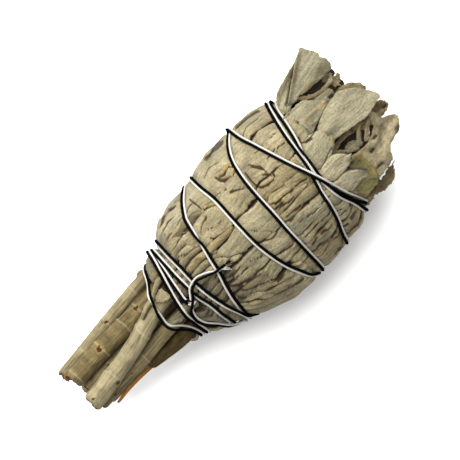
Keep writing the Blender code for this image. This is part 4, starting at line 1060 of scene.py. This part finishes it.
def add_stalk(piece, stations, rings, scars, tone, seed, ragged=0.25, ridges=0.03):
    """A stalk along its stations, ridged and ringed, with scars and a ragged cut end."""
    table = np.array(stations)
    x = np.arange(table[0, 0], table[-1, 0], STALK_STEP)
    y, z, size = (smoothed(np.interp(x, table[:, 0], table[:, column])) for column in (1, 2, 3))
    angle = np.linspace(0, TURN, SIDES, endpoint=False)
    xx, aa = np.meshgrid(x, angle, indexing="ij")
    round_stalk = np.stack([xx / 14, np.cos(aa) * 0.9, np.sin(aa) * 0.9], -1)
    striped = np.stack([xx / 22, np.cos(aa) * 4.5, np.sin(aa) * 4.5], -1)
    rough = np.stack([xx / 1.6, np.cos(aa) * 4, np.sin(aa) * 4], -1)
    scale = 1 + 0.05 * wobble(round_stalk, seed) + ridges * 0.6 * wobble(striped, seed + 1)
    scale = scale + 0.008 * wobble(rough, seed + 2)
    rim = np.zeros_like(xx)
    depth = np.zeros_like(xx)
    for place, slant in rings:
        off = xx - place - slant * np.cos(aa - 1.8) - 0.12 * wobble(striped * 1.3, seed + 3)
        scale = scale + 0.06 * bell(off, 0.35) + 0.03 * bell(off, 1.8)
        rim = np.maximum(rim, bell(off, 0.22))
        depth = np.maximum(depth, 0.14 * bell(off + 0.45, 0.25))
    for place, where, reach in scars:
        turned = (aa - where + math.pi) % TURN - math.pi
        off = np.hypot((xx - place - 0.5 * turned) / 1.1, turned * 2.4) / reach
        off = off * (1 + 0.25 * wobble(rough, seed + 4))
        scale = scale - 0.09 * bell(off, 1.0) + 0.05 * bell(off - 1.3, 0.4)
        depth = np.maximum(depth, np.exp(-(off**2.5)))
    start = ramp_up(xx, x[0], 1.2)
    scale = scale * (0.72 + 0.28 * np.sqrt(1 - (1 - start) ** 2))
    reach = size[:, None] * scale
    ends = (1 - start) * ragged * wobble(rough * 0.8, seed + 6)
    around = [y[:, None] + reach * np.cos(aa), AXIS_Z + z[:, None] + reach * np.sin(aa)]
    points = np.stack([xx + ends, *around], -1).reshape(-1, 3)
    faces = tube_faces(len(x), SIDES)
    rims, depths = [rim.ravel()], [depth.ravel() + np.clip(1 - 2.2 * start.ravel(), 0, 1) * 0.85]

    centre = np.array([x[0], y[0], AXIS_Z + z[0]])
    last = 0
    for share, sink, shade in CUT_RINGS:
        ring = centre + (points[:SIDES] - centre) * [1, share, share]
        ring[:, 0] += sink + 0.5 * ragged * wobble(ring / 0.9, seed + 7)
        base = len(points)
        points = np.concatenate([points, ring])
        rims.append(np.zeros(SIDES))
        depths.append(np.full(SIDES, shade))
        for j in range(SIDES):
            k = (j + 1) % SIDES
            faces.append([last + j, last + k, base + k, base + j])
        last = base
    closing = len(points)
    far_ring = (len(x) - 1) * SIDES
    points = np.concatenate([points, [centre + [0.4, 0, 0], [x[-1], y[-1], AXIS_Z + z[-1]]]])
    rims.append(np.zeros(2))
    depths.append(np.ones(2))
    for j in range(SIDES):
        k = (j + 1) % SIDES
        faces.append([last + j, last + k, closing])
        faces.append([far_ring + k, far_ring + j, closing + 1])
    turned = np.concatenate([aa.ravel(), np.tile(angle, len(CUT_RINGS)), [0, 0]])
    places = np.column_stack([points[:, 0] + seed * 3.1, np.sin(turned) * 3 + np.cos(turned) * 2.0])
    dark = np.clip(np.concatenate(depths), 0, 1)
    piece.add(points, faces, places, tone=tone, rim=np.concatenate(rims), depth=dark)


# Thread meshes

PITCH = 2.6
PLIES = 3


def add_thread(piece, points, size, seed, step=0.34, sides=12, shade=None):
    """A twisted thread along these points."""
    run = np.concatenate([[0], np.cumsum(np.linalg.norm(np.diff(points, axis=0), axis=1))])
    at = np.arange(0, run[-1], step)
    line = np.column_stack([np.interp(at, run, points[:, column]) for column in range(3)])
    kernel = np.array([1, 2, 3, 2, 1]) / 9
    padded = np.pad(line, ((2, 2), (0, 0)), mode="edge")
    line = np.column_stack([np.convolve(padded[:, column], kernel, "valid") for column in range(3)])
    ahead = np.gradient(line, axis=0)
    ahead /= np.linalg.norm(ahead, axis=1)[:, None]
    across = np.cross(ahead[0], [0.0, 0.0, 1.0])
    sideways = []
    for direction in ahead:
        across = across - direction * (across @ direction)
        across = across / np.linalg.norm(across)
        sideways.append(across)
    sideways = np.array(sideways)
    upward = np.cross(ahead, sideways)
    angle = np.linspace(0, TURN, sides, endpoint=False)
    twist = PLIES * (angle[None] - TURN * at[:, None] / PITCH)
    uneven = wobble(np.stack([at / 2, at * 0], -1), seed)[:, None]
    radius = size * (0.97 + 0.12 * np.cos(twist) + 0.04 * uneven)
    ends = np.clip(np.minimum(at, at[-1] - at) / 0.5, 0.25, 1) ** 0.5
    radius = radius * ends[:, None]
    rings = (
        line[:, None]
        + sideways[:, None] * (radius * np.cos(angle))[..., None]
        + upward[:, None] * (radius * np.sin(angle))[..., None]
    )
    rows = len(at)
    faces = [[a, d, c, b] for a, b, c, d in tube_faces(rows, sides)]
    faces.append(list(range(sides))[::-1])
    faces.append([(rows - 1) * sides + j for j in range(sides)])
    places = np.stack([at[:, None] + 0 * radius, angle[None] + 0 * radius], -1).reshape(-1, 2)
    # Painted shade in the grooves between the plies; a given shade value takes its place, as for the
    # splinters' torn colour
    groove = np.clip(0.5 - 0.5 * np.cos(twist), 0, 1).ravel() if shade is None else shade
    piece.add(rings.reshape(-1, 3), faces, places, tone=0.5, rim=0.0, depth=groove)


def finer(points, count):
    """This many points evenly along a line of a few."""
    at = np.linspace(0, len(points) - 1, count)
    return np.column_stack([np.interp(at, range(len(points)), column) for column in np.array(points).T])


def tree_of(pieces):
    """A search tree over the surfaces of these gathered pieces, in millimetres."""
    points, faces = [], []
    for piece in pieces:
        first = len(points)
        points.extend(map(tuple, np.concatenate(piece.points)))
        faces.extend([i + first for i in face] for face in piece.faces)
    return BVHTree.FromPolygons(points, faces)


# Materials

class Look:
    """A material, built up as sockets that feed its shader."""

    def __init__(self, name, roughness, sheen=0.0, specular=0.12):
        self.material = bpy.data.materials.new(name)
        self.material.use_nodes = True
        self.tree = self.material.node_tree
        self.shader = self.tree.nodes["Principled BSDF"]
        self.shader.inputs["Roughness"].default_value = roughness
        self.shader.inputs["Specular IOR Level"].default_value = specular
        if sheen:
            self.shader.inputs["Sheen Weight"].default_value = sheen
            self.shader.inputs["Sheen Roughness"].default_value = 0.5
        uv = self.tree.nodes.new("ShaderNodeUVMap")
        uv.uv_map = "place"
        self.place = uv.outputs["UV"]

    def put(self, kind, output, inputs, **settings):
        node = self.tree.nodes.new(kind)
        for key, value in settings.items():
            setattr(node, key, value)
        for key, value in inputs.items():
            if isinstance(value, bpy.types.NodeSocket):
                self.tree.links.new(value, node.inputs[key])
            else:
                node.inputs[key].default_value = value
        return node.outputs[output]

    def attribute(self, name):
        return self.put("ShaderNodeAttribute", "Fac", {}, attribute_name=name)

    def stretched(self, along, across):
        """The texture place, in millimetres times these."""
        factors = (MM_IN_CM * along, MM_IN_CM * across, 1.0)
        return self.put("ShaderNodeVectorMath", 0, {0: self.place, 1: factors}, operation="MULTIPLY")

    def noise(self, along, across, detail=4.0, roughness=0.55, distortion=0.0):
        return self.put("ShaderNodeTexNoise", "Fac", {
            "Vector": self.stretched(along, across), "Scale": 1.0, "Detail": detail, "Roughness": roughness,
            "Distortion": distortion,
        })

    def calculate(self, operation, a, b=0.0, c=0.0):
        return self.put("ShaderNodeMath", 0, {0: a, 1: b, 2: c}, operation=operation)

    def ramp(self, value, stops):
        node = self.tree.nodes.new("ShaderNodeValToRGB")
        self.tree.links.new(value, node.inputs[0])
        elements = node.color_ramp.elements
        while len(elements) < len(stops):
            elements.new(0.5)
        for element, (place, colour) in zip(elements, stops):
            element.position = place
            element.color = (*colour, 1.0) if isinstance(colour, tuple) else (colour, colour, colour, 1.0)
        return node.outputs[0]

    def mix(self, share, a, b, blend="MIX"):
        node = self.tree.nodes.new("ShaderNodeMix")
        node.data_type = "RGBA"
        node.blend_type = blend
        for key, value in ((0, share), (6, a), (7, b)):
            if isinstance(value, bpy.types.NodeSocket):
                self.tree.links.new(value, node.inputs[key])
            elif key == 0:
                node.inputs[key].default_value = value
            else:
                node.inputs[key].default_value = (*value, 1.0)
        return node.outputs[2]

    def shaded(self, colour, value, stops):
        """The colour made darker and lighter by the value's ramp."""
        return self.mix(1.0, colour, self.ramp(value, stops), "MULTIPLY")

    def covered(self, colour, value, stops, cover):
        """The colour with another over it, as far as the value's ramp says."""
        return self.mix(self.ramp(value, stops), colour, cover)

    def finish(self, colour, bumps):
        self.tree.links.new(colour, self.shader.inputs["Base Color"])
        normal = None
        for height, distance in bumps:
            inputs = {"Height": height, "Distance": distance * MM, "Strength": 1.0}
            if normal is not None:
                inputs["Normal"] = normal
            normal = self.put("ShaderNodeBump", "Normal", inputs)
        self.tree.links.new(normal, self.shader.inputs["Normal"])
        return self.material


LEAF_SAGE = [(0.3, (0.12, 0.101, 0.057)), (0.5, (0.19, 0.16, 0.09)), (0.7, (0.27, 0.227, 0.132))]
LEAF_GREEN = [(0.3, (0.12, 0.112, 0.069)), (0.7, (0.205, 0.189, 0.121))]
LEAF_TAN = [(0.3, (0.08, 0.056, 0.022)), (0.7, (0.22, 0.172, 0.078))]
LEAF_OLIVE = (0.088, 0.078, 0.026)
LEAF_PALE = (0.34, 0.295, 0.185)
LEAF_OCHRE = (0.15, 0.09, 0.028)
LEAF_SPECK = (0.07, 0.035, 0.012)
LEAF_RIM = (0.2, 0.13, 0.033)
# The painted shade colour of the leaves' cracks, creases, sinking edges and hidden core
LEAF_PAINTED_SHADE = (0.018, 0.011, 0.005)
STALK_PALE = [(0.3, (0.115, 0.094, 0.049)), (0.7, (0.225, 0.19, 0.112))]
STALK_BROWN = (0.075, 0.051, 0.0145)
BARK_BROWN = (0.034, 0.022, 0.006)
TWIG_BROWN = (0.21, 0.085, 0.012)
STALK_SPECK = (0.03, 0.02, 0.01)
STALK_RING = (0.33, 0.29, 0.2)
STALK_TORN = (0.2, 0.095, 0.02)
STALK_DEEP = (0.016, 0.01, 0.005)
# Each thread's own colour, then the painted shade colour for the grooves between its plies
WHITE_THREAD = ((0.42, 0.41, 0.375), (0.13, 0.12, 0.1))
BLACK_THREAD = ((0.002, 0.0022, 0.002), (0.001, 0.001, 0.001))


def leaf_look():
    look = Look("sage_leaf_look", 0.9, sheen=0.08)
    tone, rim, depth = look.attribute("tone"), look.attribute("rim"), look.attribute("depth")
    broad = look.noise(0.11, 0.16, 3.0)
    streaks = look.noise(0.12, 1.1, 4.0)
    mottle = look.noise(0.9, 1.2, 5.0, 0.65)
    fine = look.noise(1.7, 2.1, 4.0, 0.65)
    green = look.ramp(broad, LEAF_GREEN)
    tan = look.ramp(broad, LEAF_TAN)
    over_tan = look.calculate("SUBTRACT", tone, 1.0)
    under_green = look.calculate("MULTIPLY", tone, -1.0)
    colour = look.covered(look.ramp(broad, LEAF_SAGE), tone, [(0.0, 0.85), (0.5, 0.0)], green)
    colour = look.covered(colour, tone, [(0.5, 0.0), (1.0, 0.85)], tan)
    colour = look.covered(colour, over_tan, [(0.0, 0.0), (1.0, 0.9)], LEAF_OLIVE)
    colour = look.covered(colour, under_green, [(0.0, 0.0), (1.0, 0.9)], LEAF_PALE)
    colour = look.shaded(colour, streaks, [(0.28, 0.62), (0.5, 1.0), (0.75, 1.18)])
    colour = look.shaded(colour, mottle, [(0.3, 0.74), (0.5, 1.0), (0.7, 1.14)])
    colour = look.shaded(colour, fine, [(0.3, 0.6), (0.5, 1.0), (0.7, 1.2)])
    patches = look.noise(0.22, 0.3, 5.0, 0.7, 1.0)
    colour = look.covered(colour, patches, [(0.66, 0.0), (0.72, 0.75)], LEAF_OCHRE)
    specks = look.noise(1.9, 2.2, 2.0, 0.5)
    colour = look.covered(colour, specks, [(0.7, 0.0), (0.76, 0.6)], LEAF_SPECK)
    broken = look.ramp(look.noise(0.5, 0.5, 4.0), [(0.44, 0.0), (0.6, 0.8)])
    colour = look.mix(look.calculate("MULTIPLY", rim, broken), colour, LEAF_RIM)
    # Painted shade: near-black in cracks, creases and sinking folds, at leaf edges, on the hidden core, and
    # as far as a leaf's shade value says
    colour = look.covered(colour, depth, [(0.12, 0.0), (0.6, 0.95)], LEAF_PAINTED_SHADE)
    ribs = look.noise(0.18, 2.4, 3.0)
    return look.finish(colour, [(ribs, 0.45), (mottle, 0.5), (fine, 0.28)])


def stalk_look(name, brown):
    look = Look(name, 0.8)
    tone, rim, depth = look.attribute("tone"), look.attribute("rim"), look.attribute("depth")
    grain = look.noise(0.1, 2.2, 5.0, 0.6)
    blotch = look.noise(0.28, 0.7, 5.0, 0.65)
    specks = look.noise(1.6, 2.0, 3.0, 0.5)
    pale = look.ramp(blotch, STALK_PALE)
    darkest, lightest = (tuple(part * share for part in brown) for share in (0.35, 1.9))
    dark = look.ramp(blotch, [(0.3, darkest), (0.5, brown), (0.72, lightest)])
    colour = look.mix(tone, pale, dark)
    colour = look.shaded(colour, grain, [(0.32, 0.45), (0.5, 1.0), (0.72, 1.25)])
    colour = look.covered(colour, specks, [(0.66, 0.0), (0.72, 0.7)], STALK_SPECK)
    colour = look.mix(look.calculate("MULTIPLY", rim, 0.35), colour, STALK_RING)
    torn = look.calculate("MULTIPLY_ADD", look.calculate("SUBTRACT", specks, 0.5), 1.1, depth)
    colour = look.covered(colour, torn, [(0.36, 0.0), (0.5, 0.7)], STALK_TORN)
    colour = look.covered(colour, torn, [(0.5, 0.0), (0.68, 0.95)], STALK_DEEP)
    return look.finish(colour, [(grain, 0.3), (blotch, 0.15)])


def thread_look(name, light, dark):
    look = Look(name, 0.9, specular=0.0)
    fuzz = look.noise(1.2, 1.5, 4.0, 0.7)
    # Painted shade: the dark colour in the grooves between the plies
    colour = look.covered(light, look.attribute("depth"), [(0.45, 0.0), (1.0, 0.75)], dark)
    colour = look.shaded(colour, fuzz, [(0.3, 0.82), (0.7, 1.08)])
    return look.finish(colour, [(fuzz, 0.06)])


# The object

# The knot's two short bars: points along, across and out
BLACK_BAR = [(-98.5, -5.5, 0.5), (-96, -8, 1.3), (-93, -10.5, 1.3), (-90, -12.5, 0.6)]
WHITE_BAR = [(-99.5, -9.5, 0.5), (-97, -12, 1.2), (-94, -14, 1.3), (-90, -14, 0.7)]


def add_bar(piece, size, bar, seed):
    along, across, out = np.array(bar).T
    x, y, out = finer(np.column_stack([*place_of(along, across), out]), 16).T
    add_thread(piece, on_bundle(x, seen_angle(x, y), out), size, seed, step=0.2)


def add_frayed_end(piece, line, spread, seed):
    """Fine fibres that stand out of the strand's loose end."""
    draw = np.random.default_rng(seed)
    ahead = line[0] - line[4]
    ahead = ahead / np.linalg.norm(ahead)
    for k in range(7):
        end = line[0] + ahead * draw.uniform(1.2, 3.0) + draw.normal(size=3) * spread
        bend = line[0] + ahead * 0.8 + draw.normal(size=3) * 0.3
        add_thread(piece, finer([line[1], line[0], bend, end], 12), 0.1, seed + k, step=0.25, sides=5)


def add_splinters(piece):
    """Torn wood at the cut end of the thin upper stalk."""
    end_x, end_y, end_z = -61.8, 8.7, AXIS_Z - 1.2
    draw = np.random.default_rng(7)
    for k in range(24):
        turned = draw.uniform(0, TURN)
        reach = draw.uniform(0.1, 1.5)
        start = np.array([end_x, end_y + reach * math.cos(turned), end_z + reach * math.sin(turned)])
        end = start + [-draw.uniform(0.4, 1.8), draw.uniform(-1.8, 0.3), draw.uniform(-0.3, 0.8)]
        splinter = np.linspace(start, end, 8)
        add_thread(piece, splinter, draw.uniform(0.18, 0.4), 700 + k, step=0.2, sides=6, shade=0.48)


core = Piece("leaf_core")
body = Piece("leaf_body")
neck = Piece("leaf_neck_folds")
under = Piece("leaf_under")
tips = Piece("leaf_tips")
core_piece(core)
seen_pieces(body, neck)
unseen_leaves(under)
scrap_pieces(neck)
tip_pieces(tips)

TORN_STALK = 2
BARK_STALK = 4
stalks = []
for k, (stations, rings, scars, tone) in enumerate(STALKS):
    stalk = Piece(f"stalk_{k + 1}_fine")
    add_stalk(stalk, stations, rings, scars, tone, 40 + 9 * k, ragged=0.5 if k == TORN_STALK else 0.22)
    stalks.append(stalk)
twig = Piece("dry_twig_fine")
add_stalk(twig, TWIG, [], [], 1.0, 150, ragged=0.4, ridges=0.08)

# Each strand's loose end starts a few steps into its path.
white_line, black_line = lay_strands(tree_of([core, body, neck, under, *stalks]), PATHS)
white_line, black_line = white_line[6:], black_line[2:]
white = Piece("string_white_fine")
black = Piece("string_black_fine")
add_thread(white, white_line, STRAND_RADIUS * 0.84, 61)
add_thread(black, black_line, STRAND_RADIUS * 1.1, 67)
add_bar(black, 0.4, BLACK_BAR, 70)
add_bar(white, 0.33, WHITE_BAR, 71)
add_frayed_end(white, white_line, 0.8, 81)
add_frayed_end(black, black_line, 0.5, 91)
add_splinters(stalks[TORN_STALK])

leaf = leaf_look()
for piece in (core, body, neck, under, tips):
    piece.made(leaf, "sage_leaf", ["leaf_bunch"])
wood = stalk_look("sage_stalk_look", STALK_BROWN)
bark = stalk_look("dark_sage_stalk_look", BARK_BROWN)
for k, stalk in enumerate(stalks):
    stalk.made(bark if k == BARK_STALK else wood, "sage_stalk", [f"stalk_{k + 1}"])
twig.made(stalk_look("dry_twig_look", TWIG_BROWN), "dry_twig", ["dry_twig"])
white.made(thread_look("white_thread_look", *WHITE_THREAD), "white_string", ["string_white"])
black.made(thread_look("black_thread_look", *BLACK_THREAD), "black_string", ["string_black"])

# The floor, light and camera

FLOOR_SIZE = 6.0
FLOOR_DROP = 0.0002
PAPER = (0.93, 0.93, 0.93, 1.0)
WHITE = (1.0, 1.0, 1.0, 1.0)
WORLD_STRENGTH = 0.4
# The photo's own up, and the middle of its frame as a place on the part, in mm
ROLL = math.radians(46.41)
FRAME_MIDDLE = (3.378, 2.82)
LENS = 900.0
SENSOR = 36.0
PHOTO_WIDTH = 460
VIEW_WIDTH = PHOTO_WIDTH * UNIT * MM

bpy.ops.mesh.primitive_plane_add(size=FLOOR_SIZE, location=(0.0, 0.0, -FLOOR_DROP))
floor = bpy.context.object
floor.name = "floor"
paper = bpy.data.materials.new("floor_look")
paper.use_nodes = True
paper_inputs = paper.node_tree.nodes["Principled BSDF"].inputs
paper_inputs["Base Color"].default_value = PAPER
paper_inputs["Roughness"].default_value = 0.9
floor.data.materials.append(paper)

RIGHT = Vector((math.cos(ROLL), -math.sin(ROLL), 0.0))
UP = Vector((math.sin(ROLL), math.cos(ROLL), 0.0))
OVER = Vector((0.0, 0.0, 1.0))
centre = Vector(((FRAME_MIDDLE[0] + SHIFT[0]) * MM, (FRAME_MIDDLE[1] + SHIFT[1]) * MM, AXIS_Z * MM))


def add_light(name, direction, distance, size, energy):
    light = bpy.data.lights.new(name, "AREA")
    light.size = size
    light.energy = energy
    obj = bpy.data.objects.new(name, light)
    obj.location = centre + direction.normalized() * distance
    obj.rotation_euler = (-direction).to_track_quat("-Z", "Y").to_euler()
    bpy.context.scene.collection.objects.link(obj)


add_light("key", OVER * 1.0 - RIGHT * 0.5 + UP * 0.6, 1.0, 1.3, 40.0)
add_light("top", OVER, 1.6, 1.2, 12.0)
world = bpy.data.worlds.new("studio")
bpy.context.scene.world = world
world.use_nodes = True
world_inputs = world.node_tree.nodes["Background"].inputs
world_inputs["Color"].default_value = WHITE
world_inputs["Strength"].default_value = WORLD_STRENGTH
bpy.context.scene.view_settings.view_transform = "Standard"

camera = bpy.data.objects.new("camera", bpy.data.cameras.new("camera"))
camera.data.lens = LENS
camera.data.sensor_width = SENSOR
camera.data.clip_start = 0.05
camera.data.clip_end = 20.0
camera.location = centre + OVER * (VIEW_WIDTH * LENS / camera.data.sensor_width)
camera.rotation_euler = Matrix((RIGHT, UP, OVER)).transposed().to_euler()
bpy.context.scene.collection.objects.link(camera)
bpy.context.scene.camera = camera
